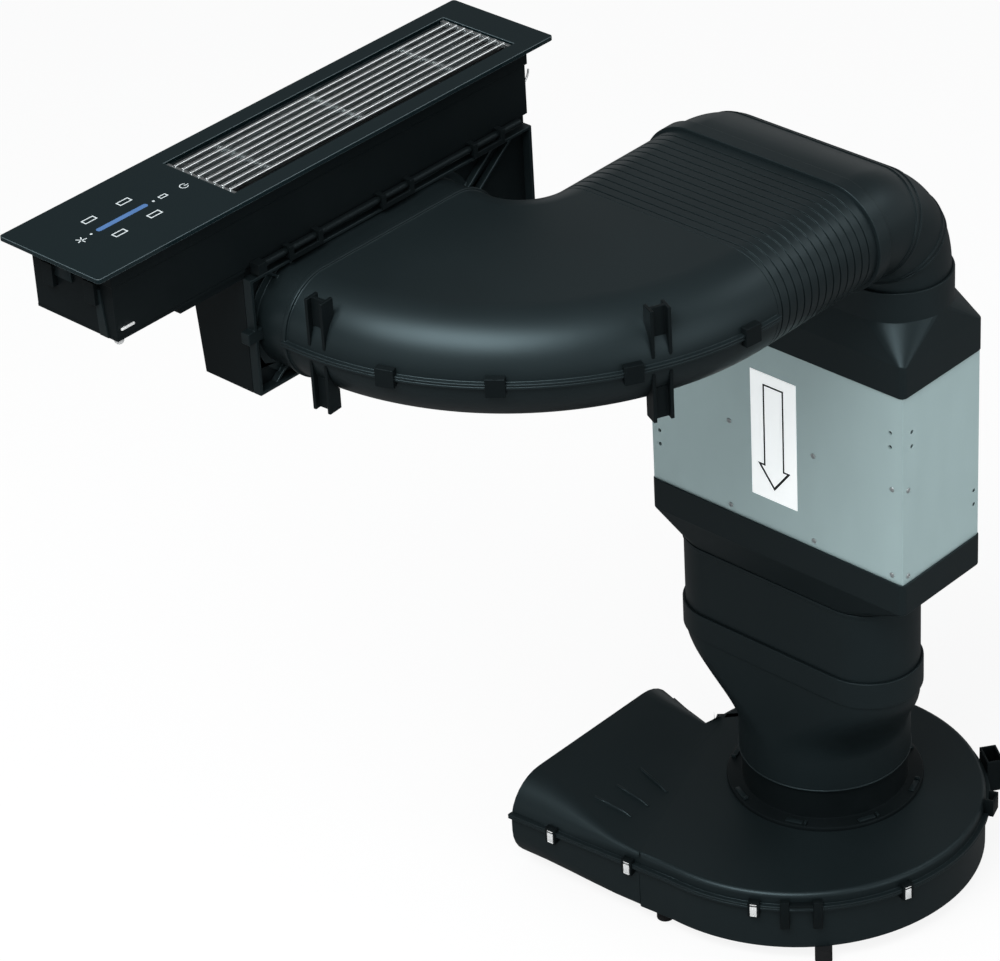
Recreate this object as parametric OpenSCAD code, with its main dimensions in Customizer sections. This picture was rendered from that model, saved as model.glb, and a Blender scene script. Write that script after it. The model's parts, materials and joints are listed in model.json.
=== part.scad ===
/* [Glass panel] */
// Length of the glass panel
glass_l = 515; // [480:1:600]
// Width of the glass panel
glass_w = 114; // [110:1:130]
// Thickness of the glass
glass_t = 4; // [3:0.5:6]
// Corner radius of the glass
glass_corner_r = 3; // [1:0.5:6]
// Thickness of the seal frame under the glass
seal_t = 2; // [1:0.5:4]
// Setback of the seal frame from the edge of the glass
seal_setback = 3; // [1:0.5:5]
// Length of the grille opening
opening_l = 324; // [300:1:330]
// Width of the grille opening
opening_w = 81; // [79:1:84]
// Middle of the opening along the panel
opening_y = 65; // [65:0.5:67]

/* [Grille, filter and tray] */
// Number of grille blades
blade_count = 8; // [5:1:11]
// Thickness of a grille blade
blade_t = 3; // [2:0.5:4]
// Height of a grille blade
blade_h = 9; // [6:0.5:12]
// Height of the grease filter
filter_h = 46; // [35:1:52]
// Thickness of the filter's sheet metal
filter_t = 1.2; // [0.8:0.1:2]
// Wall of the filter tray
tray_wall = 2; // [1.5:0.1:3]
// Gap between the filter, the tray and what they slide in
lift_gap = 1; // [0.6:0.1:2]

/* [Inlet housing] */
// Length of the housing under the panel
body_l = 469; // [460:1:475]
// Middle of the housing along the panel
body_y = -1.5; // [-2:0.5:0]
// Width of the housing under the panel
body_w = 92; // [90:1:98]
// Wall of the moulded housing
body_wall = 2.5; // [2:0.1:3.5]
// Depth of the part that hangs down to the port
deep_h = 177; // [172:1:200]
// Depth of the shallow part with the electronics
shallow_h = 60; // [50:1:66]
// Length of the deep part
deep_l = 331; // [328:1:345]
// Depth at which the back wall steps in
step_z = 66; // [64:1:75]
// Depth at which the step ends
step_end_z = 88; // [80:1:95]
// Width that the step takes off the back
step_w = 24; // [15:1:26]
// Width that the taper takes off the back lower down
taper_w = 8; // [2:1:12]
// Depth of the pockets behind the port flange's rim
pocket_d = 5; // [3:0.5:5]
// Height of the port flange's rim outside the housing
flange_t = 4; // [3:0.5:6]
// Depth at which the port flange starts
flange_z = 70; // [64:1:71]

/* [Flat ducts] */
// Outer width of the flat ducts
duct_w = 248; // [244:1:256]
// Outer height of the flat ducts
duct_h = 94; // [88:1:98]
// Wall of the moulded ducts
duct_wall = 2.5; // [2:0.1:3.5]
// Depth of the middle of the horizontal ducts
duct_z = 121.5; // [121:0.5:126]
// Middle of the port along the panel
port_y = 34.6; // [33:0.1:38]
// Length of the collar on the port flange
collar_l = 23; // [16:1:30]
// Straight length between the collar and the bend
lead_l = 14.5; // [10:0.5:30]
// Centreline radius of the flat bend
bend_r = 147.5; // [145:0.5:180]
// Length of the ribbed duct
ribbed_l = 126; // [100:1:200]
// Pitch of the grooves on the ribbed duct
groove_pitch = 9.2; // [8:0.1:14]
// Depth of the grooves
groove_d = 1.3; // [0.6:0.1:1.6]
// Length of the elbow's straight start
elbow_lead = 20; // [15:1:30]
// Centreline radius of the elbow
elbow_r = 64; // [62:1:90]
// Radial clearance between a sleeve and its socket
fit = 0.2; // [0.1:0.05:0.3]
// Length of the sleeves inside the joints
sleeve_l = 12; // [9:0.5:13]

/* [In-line box] */
// Width of the box
box_w = 283; // [275:1:300]
// Depth of the box, front to back
box_d = 106; // [104:1:120]
// Height of the box between the two skirts
box_show_h = 188.3; // [120:1:300]
// Sheet metal of the box
sheet_t = 1; // [0.8:0.1:1.5]
// Height of the skirts of the adapters
skirt_h = 31; // [26:1:40]
// Wall of the skirts
skirt_wall = 2; // [1.5:0.1:3]
// Height of the socket on the upper adapter
upper_socket_h = 28; // [20:1:36]
// Height of the taper of the upper adapter
upper_taper_h = 30; // [24:1:45]
// Height of the taper of the lower adapter
lower_taper_h = 31.5; // [24:1:45]
// Sideways offset of the upper socket from the box
upper_offset = 15.5; // [0:0.5:16]
// Sideways offset of the lower socket from the box
lower_offset = 16; // [0:0.5:16]

/* [Connector and transition] */
// Length of the flat connector
connector_l = 72; // [50:1:110]
// Height of the transition's flat socket
socket_h = 27.5; // [22:1:36]
// Height of the change from flat to round
change_h = 90; // [70:1:130]
// Height of the straight round end
round_h = 32.5; // [26:0.5:45]
// Outer radius of the round end
round_r = 80; // [76:0.5:82]
// Offset of the round end to the back
round_offset = 31; // [25:1:33]

/* [Fan] */
// Height of the round neck that shows on the fan
neck_h = 32.5; // [26:0.5:45]
// Radius of the bayonet ring on the fan
ring_r = 92; // [90:0.5:98]
// Thickness of the bayonet ring
ring_t = 4; // [3:0.5:6]
// Height of the fan's upper shell
upper_h = 14; // [12:1:20]
// Height of the fan's lower shell
lower_h = 47; // [44:1:60]
// Wall of the fan's housing
scroll_wall = 3; // [2.5:0.1:4]
// Radius of the scroll on the front
scroll_front_r = 180; // [174:1:190]
// Radius of the scroll on the right
scroll_right_r = 160.5; // [155:0.5:170]
// Radius of the scroll on the back
scroll_back_r = 139; // [136:0.5:145]
// Distance from the fan's axis to the outlet's mouth
outlet_l = 199; // [190:1:240]
// Height of the outlet's mouth
outlet_h = 93; // [84:1:96]
// Drop of the outlet's underside below the scroll
outlet_drop = 13; // [8:1:16]
// Reach of the mouth to the front of the fan's axis
mouth_front = 220; // [214:1:226]
// Reach of the mouth to the back of the fan's axis
mouth_back = 10; // [6:1:14]
// Height of the rubber feet's underside below the outlet
foot_h = 3; // [2:0.5:6]
// Radius of the impeller
wheel_r = 122; // [115:1:124]
// Radius of the impeller's eye
eye_r = 72; // [66:1:73]
// Number of impeller blades
wheel_blades = 11; // [7:1:15]
// Height of the impeller
wheel_h = 42; // [36:1:43]
// Radius of the motor's rotor
rotor_r = 46; // [40:1:52]
// Radius of the motor's shaft
shaft_r = 5; // [4:0.5:6]

/* [Hidden] */
$fa = 3;
$fs = 1.2;

// One overrun for every cut
over = 1;
// Overlap that fuses a detail to what carries it
bite = 0.6;
// Step that a blended wall keeps inside the straight wall that it joins
inset = bite / 2;

// Colours
moulded = [0.11, 0.14, 0.15];
dark_moulded = [0.07, 0.09, 0.1];
steel = [0.78, 0.8, 0.81];
zinc = [0.62, 0.68, 0.69];
rubber = [0.05, 0.06, 0.06];

// Helper placements: local Z turns to X, to Y or downward
module along_x(p) { translate(p) rotate([90, 0, 90]) children(); }
module along_y(p) { translate(p) rotate([-90, 0, 0]) children(); }
module downward(p) { translate(p) rotate([180, 0, 0]) children(); }

// Flat oval outline: straight flanks and half-round ends
module oval(w, h) {
    square([w - h, h], center = true);
    for (side = [-1, 1]) translate([side * (w - h) / 2, 0]) circle(d = h);
}

module oval_wall(w, h, wall) {
    difference() {
        oval(w, h);
        oval(w - 2 * wall, h - 2 * wall);
    }
}

// Rectangle with round corners
module soft_rect(w, l, r) {
    square([w - 2 * r, l], center = true);
    square([w, l - 2 * r], center = true);
    for (i = [-1, 1], j = [-1, 1]) translate([i * (w / 2 - r), j * (l / 2 - r)]) circle(r = r);
}

// Points of a rounded rectangle with half sides hx and hy
corner_steps = 8;
function rounded_points(cx, cy, hx, hy, r) = [
    for (q = [0 : 3], i = [0 : corner_steps])
        let (a = q * 90 + i * 90 / corner_steps,
            sx = (q == 0 || q == 3) ? 1 : -1,
            sy = (q < 2) ? 1 : -1)
        [cx + sx * (hx - r) + r * cos(a), cy + sy * (hy - r) + r * sin(a)]];

// Solid through a stack of sections, each [z, cx, cy, hx, hy, r], from the lowest up.
// A section that leans has two more values: its rise per unit of y, and the y it leans about.
module loft(sections) {
    n = 4 * (corner_steps + 1);
    m = len(sections);
    points = [for (s = sections, p = rounded_points(s[1], s[2], s[3], s[4], s[5]))
        [p[0], p[1], s[0] + (len(s) > 6 ? s[6] * (p[1] - s[7]) : 0)]];
    sides = [for (k = [0 : m - 2], i = [0 : n - 1], half = [0, 1])
        let (a = k * n + i, b = k * n + (i + 1) % n)
        half == 0 ? [a, a + n, b] : [b, a + n, b + n]];
    floor_face = [for (i = [0 : n - 1]) i];
    roof_face = [for (i = [n - 1 : -1 : 0]) (m - 1) * n + i];
    polyhedron(points, concat(sides, [floor_face, roof_face]));
}

// Inlet head

// Width of the ledge that carries the grille
ledge_w = 2.5;
// Window left inside that ledge
window_w = opening_w - 2 * ledge_w;
window_l = opening_l - 2 * ledge_w;
// Filter tray: outside
tray_w = window_w - 2 * lift_gap;
tray_l = window_l - 2 * lift_gap;
// Depth of the blades' undersides
blade_z = seal_t + glass_t - blade_h;
// Gap under the grille to the tray and the filter
stack_gap = 0.5;
tray_top_z = blade_z - stack_gap;
filter_w = tray_w - 2 * tray_wall - 2 * lift_gap;
filter_l = tray_l - 2 * tray_wall - 2 * lift_gap;
filter_z = tray_top_z - filter_h;
// Housing along the panel
body_y0 = body_y - body_l / 2;
body_y1 = body_y + body_l / 2;
deep_y0 = body_y1 - deep_l;
port_wall_x = body_w / 2 - pocket_d;
floor_z = -deep_h + body_wall;
// Rim strip of the housing, right under the seal frame
rim_h = 14;
rim_out = 1.5;
// Electronics
board_t = 1.6;
board_gap = 2;
cover_t = 2.5;
bulge_h = 7;
bulge_l = 70;
// Rail and latches above the port flange
rail_r = 3.2;
rail_step = 9;
rail_z = flange_z - rail_step;
latch_l = 38;
latch_w = 5;
latch_y_shares = [0.18, 0.5, 0.83];
rail_end_gap = 14;
rim_wall = 3;
rib_t = 2.4;
// Worktop clamps
clamp_w = 12;
clamp_h = 20;
clamp_t = 5;
clamp_x = 24;
screw_r = 2.5;
screw_head_r = 4;
screw_l = 34;
wire_r = 0.9;

// Extrudes an outline in X and Z along the panel from y0 to y1
module along_panel(y0, y1) {
    translate([0, y1, 0]) rotate([90, 0, 0]) linear_extrude(y1 - y0) children();
}

module glass_panel() {
    color([0.04, 0.05, 0.055]) translate([0, 0, seal_t]) linear_extrude(glass_t) difference() {
        soft_rect(glass_w, glass_l, glass_corner_r);
        translate([0, opening_y]) square([opening_w, opening_l], center = true);
    }
}

// Middle of the touch board: halfway between the end of the glass and the opening
touch_y = (-glass_l / 2 + opening_y - opening_l / 2) / 2;
touch_margin = 25;
touch_l = opening_y - opening_l / 2 + glass_l / 2 - 2 * touch_margin;
touch_w = 66;

// Seal ring round the housing, between the glass and the worktop
module seal_frame() {
    color(rubber) difference() {
        linear_extrude(seal_t)
            soft_rect(glass_w - 2 * seal_setback, glass_l - 2 * seal_setback, glass_corner_r);
        translate([0, body_y, -over]) linear_extrude(seal_t + 2 * over)
            square([body_w + 2 * rim_out + 2 * fit, body_l + 2 * rim_out + 2 * fit], center = true);
    }
}

// Top plate of the housing: carries the glass, with a ledge for the grille
module top_plate() {
    difference() {
        translate([0, body_y, -rim_h]) linear_extrude(rim_h + seal_t)
            square([body_w + 2 * rim_out, body_l + 2 * rim_out], center = true);
        translate([0, body_y, -rim_h - over]) linear_extrude(rim_h + over)
            square([body_w - 2 * body_wall, body_l - 2 * body_wall], center = true);
        translate([0, opening_y, seal_t / 2]) linear_extrude(seal_t)
            square([opening_w, opening_l], center = true);
        translate([0, opening_y, -over]) linear_extrude(seal_t + 2 * over)
            square([window_w, window_l], center = true);
        translate([0, touch_y, -over]) linear_extrude(seal_t + 2 * over)
            square([touch_w + 2 * board_gap, touch_l + 2 * board_gap], center = true);
    }
}

// Steel grille: two end bars on the ledge, blades along the panel and cross rods under them
module inlet_grille() {
    grille_l = opening_l - 2 * lift_gap;
    rest_z = seal_t / 2;
    top_z = seal_t + glass_t;
    bar_w = ledge_w + lift_gap;
    pitch = opening_w / (blade_count + 1);
    rod_r = blade_t / 2;
    blade_l = window_l - lift_gap;
    color(steel) {
        for (side = [-1, 1])
            translate([-opening_w / 2 + lift_gap, opening_y + side * (grille_l - bar_w) / 2 - bar_w / 2,
                rest_z])
                cube([opening_w - 2 * lift_gap, bar_w, top_z - rest_z - blade_t / 2]);
        for (i = [1 : blade_count])
            translate([-opening_w / 2 + i * pitch, 0, 0])
                along_panel(opening_y - blade_l / 2, opening_y + blade_l / 2) {
                    translate([-blade_t / 2, blade_z]) square([blade_t, blade_h - blade_t / 2]);
                    translate([0, top_z - blade_t / 2]) circle(d = blade_t);
                }
        for (share = [-1 / 3, 0, 1 / 3])
            translate([-window_w / 2 + lift_gap, opening_y + share * window_l, blade_z + rod_r])
                rotate([0, 90, 0]) cylinder(r = rod_r, h = window_w - 2 * lift_gap);
    }
}

// Filter frame: an upright rectangle of sheet metal with two grip bows
module grease_filter() {
    bow_w = 30;
    color(steel) {
        translate([0, opening_y, filter_z]) linear_extrude(filter_h - 2 * filter_t) difference() {
            square([filter_w, filter_l], center = true);
            square([filter_w - 2 * filter_t, filter_l - 2 * filter_t], center = true);
        }
        for (side = [-1, 1])
            translate([-bow_w / 2, opening_y + side * (filter_l / 2 - filter_t / 2) - filter_t / 2,
                filter_z + filter_h - 3 * filter_t])
                cube([bow_w, filter_t, 2 * filter_t]);
    }
}

// Filter mesh: two slotted panels that lean together in a V
module filter_mesh() {
    run = filter_w / 2 - 2 * filter_t;
    rise = filter_h - 5 * filter_t;
    slots = 14;
    slot_pitch = filter_l / (slots + 1);
    mesh_l = filter_l - 2 * filter_t;
    color(steel) difference() {
        along_panel(opening_y - mesh_l / 2, opening_y + mesh_l / 2)
            for (side = [-1, 1]) polygon([
                [side * (run + filter_t), filter_z + filter_t + rise],
                [side * run, filter_z + filter_t + rise],
                [0, filter_z + filter_t + filter_t],
                [0, filter_z + filter_t],
                [side * filter_t, filter_z + filter_t]]);
        for (i = [1 : slots], side = [-1, 1])
            translate([side * run * 0.55, opening_y - filter_l / 2 + i * slot_pitch, filter_z])
                linear_extrude(filter_h) square([run * 0.6, slot_pitch / 2], center = true);
    }
}

// Outline of the deep part in X and Z, drawn in by g from the housing's outer walls
function deep_outline(g, back_x, top_z) = [
    [back_x, top_z],
    [back_x, -step_z],
    [-body_w / 2 + step_w + g, -step_end_z],
    [-body_w / 2 + step_w + taper_w + g, -deep_h + body_wall],
    [port_wall_x - g, -deep_h + body_wall],
    [port_wall_x - g, top_z]];

module filter_tray() {
    side_g = body_wall + lift_gap + fit;
    window_share = 0.66;
    outer = deep_outline(side_g, -tray_w / 2, tray_top_z);
    inner = deep_outline(side_g + tray_wall, -tray_w / 2 + tray_wall, tray_top_z + over);
    y0 = opening_y - tray_l / 2;
    y1 = opening_y + tray_l / 2;
    shelf_z = filter_z - stack_gap;
    color(dark_moulded) {
        difference() {
            along_panel(y0, y1) intersection() {
                polygon(outer);
                translate([-tray_w / 2, -deep_h]) square([tray_w, 2 * deep_h]);
            }
            along_panel(y0 + tray_wall, y1 - tray_wall) intersection() {
                polygon(inner);
                translate([-tray_w / 2 + tray_wall, floor_z + tray_wall])
                    square([tray_w - 2 * tray_wall, 2 * deep_h]);
            }
            along_x([0, port_y, -duct_z]) linear_extrude(body_w)
                oval(duct_w * window_share * 1.3, duct_h - 4 * duct_wall);
        }
        for (y = [y0 + tray_wall - bite, y1 - tray_wall - 2 * tray_wall + bite])
            translate([-tray_w / 2 + tray_wall - bite, y, shelf_z - tray_wall])
                cube([tray_w - 2 * tray_wall + 2 * bite, 2 * tray_wall, tray_wall]);
    }
}

// Housing: shallow box under the controls and deep box with the port wall
module inlet_housing() {
    inner_w = body_w - 2 * body_wall;
    color(moulded) {
        top_plate();
        difference() {
            union() {
                translate([-body_w / 2, body_y0, -shallow_h]) cube([body_w, body_l, shallow_h]);
                along_panel(deep_y0, body_y1) polygon([
                    [-body_w / 2, -bite],
                    [-body_w / 2, -step_z],
                    [-body_w / 2 + step_w, -step_end_z],
                    [-body_w / 2 + step_w + taper_w, -deep_h],
                    [port_wall_x, -deep_h],
                    [port_wall_x, -bite]]);
            }
            translate([-inner_w / 2, body_y0 + body_wall, -shallow_h - over])
                cube([inner_w, deep_y0 - body_y0 - body_wall, shallow_h + 2 * over]);
            along_panel(deep_y0 + body_wall, body_y1 - body_wall)
                polygon(deep_outline(body_wall, -inner_w / 2, over));
            translate([0, deep_y0 + body_wall, -shallow_h + body_wall])
                cube([inner_w / 2, deep_l - 2 * body_wall, shallow_h + over]);
            along_x([0, port_y, -duct_z]) linear_extrude(body_w)
                oval(duct_w - 2 * duct_wall, duct_h - 2 * duct_wall);
        }
    }
}

module touch_board() {
    color([0.1, 0.3, 0.18]) translate([-touch_w / 2, touch_y - touch_l / 2, seal_t - board_t])
        cube([touch_w, touch_l, board_t]);
}

// Cover under the shallow box, with a bulge for the connectors
module electronics_cover() {
    cover_l = deep_y0 - body_y0 - fit;
    color(dark_moulded) {
        translate([-body_w / 2, body_y0, -shallow_h - cover_t]) cube([body_w, cover_l, cover_t]);
        translate([-body_w / 2 + cover_t, body_y0 + cover_l - bulge_l, -shallow_h - cover_t - bulge_h])
            difference() {
                cube([body_w - 2 * cover_t, bulge_l, bulge_h + bite]);
                translate([cover_t, cover_t, cover_t])
                    cube([body_w - 6 * cover_t, bulge_l - 2 * cover_t, bulge_h - cover_t]);
            }
    }
}

// Power board on the cover: board, transformer, capacitors and a terminal row
module power_board() {
    board_w = body_w - 2 * body_wall - 2 * board_gap;
    board_l = deep_y0 - body_y0 - 2 * body_wall - 4 * board_gap;
    x0 = -board_w / 2;
    y0 = body_y0 + body_wall + board_gap;
    post_h = 3;
    board_z = -shallow_h + post_h;
    core = 26;
    can_r = 7;
    color([0.1, 0.3, 0.18]) {
        translate([x0, y0, board_z]) cube([board_w, board_l, board_t]);
        for (i = [0, 1], j = [0, 1])
            translate([x0 + can_r + i * (board_w - 2 * can_r), y0 + can_r + j * (board_l - 2 * can_r),
                -shallow_h])
                cylinder(r = post_h, h = post_h + bite);
        translate([x0 + can_r, y0 + can_r, board_z + board_t - bite]) cube([core, core, core]);
        for (i = [0 : 2])
            translate([x0 + board_w - 2 * can_r, y0 + can_r * (2 + 3 * i), board_z + board_t - bite])
                cylinder(r = can_r, h = core);
        translate([x0 + can_r, y0 + board_l - core, board_z + board_t - bite])
            cube([board_w / 2, core / 2, core / 2]);
    }
}

// Port flange: rim round the port wall, oval collar, open pockets with slanting struts
strut_shares = [0.7, 0.84];
strut_turn = 38;
module port_flange() {
    plate_t = 2;
    frame_h = deep_h - flange_z;
    frame_mid = -(deep_h + flange_z) / 2;
    depth = pocket_d + flange_t;
    reach = port_wall_x;
    color(moulded) difference() {
        union() {
            along_x([reach, (deep_y0 + body_y1) / 2, frame_mid]) {
                linear_extrude(depth) difference() {
                    square([deep_l, frame_h], center = true);
                    square([deep_l - 2 * rim_wall, frame_h - 2 * rim_wall], center = true);
                }
            }
            along_x([reach, port_y, -duct_z]) linear_extrude(depth + collar_l) oval(duct_w, duct_h);
            along_x([reach, port_y, -duct_z]) linear_extrude(plate_t)
                oval(duct_w + 6 * rib_t, duct_h + 6 * rib_t);
            along_x([reach, (deep_y0 + body_y1) / 2, frame_mid]) linear_extrude(depth - rib_t)
                intersection() {
                    square([deep_l - rim_wall, frame_h - rim_wall], center = true);
                    for (i = [-1, 1], j = [-1, 1], share = strut_shares)
                        translate([i * share * deep_l / 2, j * duct_h / 2]) rotate(i * j * strut_turn)
                            square([frame_h, rib_t], center = true);
                }
            along_x([reach, port_y - duct_w / 2 - clip_l / 2, -duct_z]) linear_extrude(depth)
                square([clip_l, 2 * clip_l / 3], center = true);
        }
        along_x([reach - over, port_y, -duct_z]) linear_extrude(depth + collar_l + 2 * over)
            oval(duct_w - 2 * duct_wall, duct_h - 2 * duct_wall);
    }
}

// Rail along the top of the port flange with a knob at its near end
module flange_rail() {
    y0 = deep_y0 + rail_end_gap;
    y1 = body_y1 - rail_end_gap;
    x = body_w / 2 + rail_r + fit;
    pull_w = 3 * rail_r;
    color(dark_moulded) {
        translate([x, y0, -rail_z]) rotate([-90, 0, 0]) cylinder(r = rail_r, h = y1 - y0);
        translate([x - rail_r - fit / 2, y0 - pull_w + bite, -rail_z - pull_w / 2])
            cube([pull_w, pull_w, pull_w]);
    }
}

// Three snap latches that reach from the housing over the rail to the flange
module snap_latches() {
    x0 = body_w / 2;
    reach = 2 * rail_r + 2 * fit;
    arm_t = 2.2;
    color(dark_moulded) for (share = latch_y_shares)
        translate([x0, deep_y0 + share * deep_l - latch_l / 2, 0]) {
            for (end = [0, latch_l - latch_w])
                difference() {
                    translate([0, end, -rail_z - rail_r - arm_t])
                        cube([reach + arm_t, latch_w, 2 * (rail_r + arm_t)]);
                    translate([rail_r + fit, end - over, -rail_z]) rotate([-90, 0, 0])
                        cylinder(r = rail_r + 1.5 * fit, h = latch_w + 2 * over);
                    translate([-over, end - over, -rail_z - 0.8 * rail_r])
                        cube([rail_r + over, latch_w + 2 * over, 1.6 * rail_r]);
                }
            translate([reach, 0, -rail_z - rail_r - 2 * arm_t])
                cube([arm_t, latch_l, 2 * arm_t]);
        }
}

// Worktop clamps: two on each end wall, each with a hole for its screw
module worktop_clamps() {
    color(dark_moulded) for (end = [-1, 1], side = [-1, 1])
        translate([side * clamp_x - clamp_w / 2,
            end > 0 ? body_y1 : body_y0 - clamp_t, -rim_h - clamp_h])
            difference() {
                cube([clamp_w, clamp_t, clamp_h]);
                translate([clamp_w / 2, clamp_t / 2, -over])
                    cylinder(r = screw_r / 2, h = clamp_h + 2 * over);
            }
}

// Levelling screw under the near end of the housing, and its bracket
module clamp_screws() {
    x = body_w / 2 - 2 * screw_head_r;
    y = body_y0 + 2 * screw_head_r;
    color(steel) translate([x, y, -shallow_h - cover_t - screw_head_r]) {
        cylinder(r = screw_r, h = screw_head_r);
        sphere(r = screw_head_r);
    }
}

// Small spring wire at the far end of the housing
module end_spring_wire() {
    x = body_w / 2 - 2 * screw_head_r;
    y = body_y1;
    bow_r = 12;
    color(steel) translate([x, y, -rim_h - bow_r]) {
        rotate([0, 90, 0]) rotate_extrude(angle = 90) translate([bow_r, 0]) circle(r = wire_r);
    }
}

// Places along the duct chain
port_face_x = body_w / 2 + flange_t;
bend_in_x = port_face_x + collar_l;
bend_cx = bend_in_x + lead_l;
bend_cy = port_y + bend_r;
run_x = bend_cx + bend_r;
ribbed_end_y = bend_cy + ribbed_l;
elbow_y = ribbed_end_y + elbow_lead;
drop_y = elbow_y + elbow_r;
elbow_z = -duct_z - elbow_r;
upper_taper_z = elbow_z - upper_socket_h;
upper_skirt_z = upper_taper_z - upper_taper_h;
show_top_z = upper_skirt_z - skirt_h;
show_bottom_z = show_top_z - box_show_h;
lower_skirt_z = show_bottom_z - skirt_h;
connector_z = lower_skirt_z - lower_taper_h;
socket_z = connector_z - connector_l;
change_z = socket_z - socket_h;
round_z = change_z - change_h;
neck_z = round_z - round_h;
ring_z = neck_z - neck_h;
fan_top_z = ring_z - ring_t;
split_z = fan_top_z - upper_h;
fan_bottom_z = split_z - lower_h;
outlet_bottom_z = fan_bottom_z - outlet_drop;
outlet_top_z = outlet_bottom_z + outlet_h;
box_x = run_x - upper_offset;
drop_x = box_x - lower_offset;
fan_y = drop_y + round_offset;

bore_w = duct_w - 2 * duct_wall;
bore_h = duct_h - 2 * duct_wall;
// Socket that takes the plain end of a duct
socket_wall_out = fit + duct_wall;
// Thin lip where two ducts meet end to end
lip_out = 2.2;
lip_t = 4;
// Flange along the seam of the two half shells
seam_out = 4;
seam_t = 2.4;
seal_w = 4;
seal_d = 1;
sleeve_wall = 2.2;

// Sleeve inside a joint, from the origin up, with a groove for its rubber seal
module joint_sleeve() {
    w = bore_w - 2 * fit;
    h = bore_h - 2 * fit;
    difference() {
        linear_extrude(sleeve_l) oval_wall(w, h, sleeve_wall);
        translate([0, 0, sleeve_l / 2 - seal_w / 2]) linear_extrude(seal_w)
            oval_wall(w + 2 * over, h + 2 * over, seal_d + over);
    }
}

// Collar that joins the end of a duct to the sleeve inside the next one
module sleeve_root() {
    translate([0, 0, -bite]) linear_extrude(2 * bite)
        oval_wall(bore_w - 2 * fit, bore_h - 2 * fit, sleeve_wall);
    translate([0, 0, -sleeve_wall]) linear_extrude(sleeve_wall)
        oval_wall(bore_w + 2 * bite, bore_h + 2 * bite, sleeve_wall + bite + fit);
}

// Keeps the upper or the lower half of an outline
module half(up) {
    reach = 2 * duct_w;
    intersection() {
        children();
        translate([-reach / 2, up > 0 ? 0 : -reach]) square([reach, reach]);
    }
}

module seam_profile(up) {
    half(up) union() {
        oval_wall(duct_w, duct_h, duct_wall);
        for (side = [-1, 1])
            translate([side * (duct_w / 2 + (seam_out - bite) / 2), 0])
                square([seam_out + bite, 2 * seam_t], center = true);
    }
}

// One half shell of the flat bend: up is 1 for the upper and -1 for the lower
module bend_half(up) {
    along_x([bend_in_x, port_y, -duct_z]) {
        linear_extrude(lead_l) seam_profile(up);
        linear_extrude(lip_t) half(up)
            oval_wall(duct_w + 2 * lip_out, duct_h + 2 * lip_out, lip_out + bite);
    }
    translate([bend_cx, bend_cy, -duct_z]) rotate(-90) rotate_extrude(angle = 90)
        translate([bend_r, 0]) seam_profile(up);
    along_y([run_x, bend_cy, -duct_z]) intersection() {
        union() {
            joint_sleeve();
            sleeve_root();
        }
        translate([-duct_w, up > 0 ? -duct_h : 0, -duct_h]) cube([2 * duct_w, duct_h, 2 * duct_h]);
    }
}

module bend_upper_shell() { color(moulded) bend_half(1); }
module bend_lower_shell() { color(moulded) bend_half(-1); }

// Snap clips over the seam, at angles along the bend's outer side
clip_angles = [-71.4, -52.7, -29.9, -7.2];
clip_l = 16;
clip_t = 2;
module seam_clip_outline() {
    difference() {
        translate([duct_w / 2 - seam_out, -seam_t - clip_t - seam_out])
            square([2 * seam_out + clip_t + fit, 2 * (seam_t + clip_t + seam_out)]);
        oval(duct_w + 2 * fit, duct_h + 2 * fit);
        translate([duct_w / 2 - seam_out, -seam_t]) square([2 * seam_out + fit, 2 * seam_t]);
    }
}

module seam_clips() {
    turn = clip_l / (bend_r + duct_w / 2) * 180 / PI;
    color(dark_moulded) translate([bend_cx, bend_cy, -duct_z]) for (a = clip_angles)
        rotate(a - turn / 2) rotate_extrude(angle = turn) translate([bend_r, 0]) seam_clip_outline();
}

// Upright posts of H section on the bend's shoulder, above and below the shells, for fixing straps
bracket_angles = [-85.3, -24.5];
bracket_w = 18;
bracket_d = 14;
bracket_drop = 5;
bracket_wall = 3;
module bend_brackets() {
    out_r = bend_r + duct_w / 2 - fit;
    color(dark_moulded) translate([bend_cx, bend_cy, -duct_z]) for (a = bracket_angles) rotate(a)
        difference() {
            translate([out_r - bracket_d, 0, -duct_h / 2 - bracket_drop])
                linear_extrude(duct_h + 1.5 * bracket_drop) {
                    for (side = [-1, 1])
                        translate([0, side * (bracket_w - bracket_wall) / 2 - bracket_wall / 2])
                            square([bracket_d, bracket_wall]);
                    translate([(bracket_d - bracket_wall) / 2, -bracket_w / 2 + bite])
                        square([bracket_wall, bracket_w - 2 * bite]);
                }
            translate([bend_r + (duct_w - duct_h) / 2, 0, 0]) rotate([90, 0, 0])
                cylinder(r = duct_h / 2 + 1.5 * fit, h = 2 * bracket_w, center = true);
        }
}

// Straight duct with grooves all round
module ribbed_duct() {
    groove_w = 1.3;
    count = floor((ribbed_l - groove_pitch / 2) / groove_pitch);
    color(moulded) along_y([run_x, bend_cy, -duct_z]) {
        difference() {
            linear_extrude(ribbed_l) oval_wall(duct_w, duct_h, duct_wall);
            for (i = [0 : count - 1])
                translate([0, 0, groove_pitch / 2 + i * groove_pitch]) linear_extrude(groove_w)
                    oval_wall(duct_w + 2 * over, duct_h + 2 * over, groove_d + over);
        }
        translate([0, 0, ribbed_l]) {
            joint_sleeve();
            sleeve_root();
        }
    }
}

// Solid course of the elbow with an outline grown by g, longer by extra at its ends
module elbow_course(w, h, extra) {
    along_y([run_x, ribbed_end_y - extra, -duct_z]) linear_extrude(elbow_lead + extra) oval(w, h);
    translate([run_x, elbow_y, elbow_z]) rotate([0, 90, 0]) rotate(90) rotate_extrude(angle = 90)
        translate([elbow_r, 0]) rotate(90) oval(w, h);
    downward([run_x, drop_y, elbow_z]) linear_extrude(sleeve_l + extra) oval(w, h);
}

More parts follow.
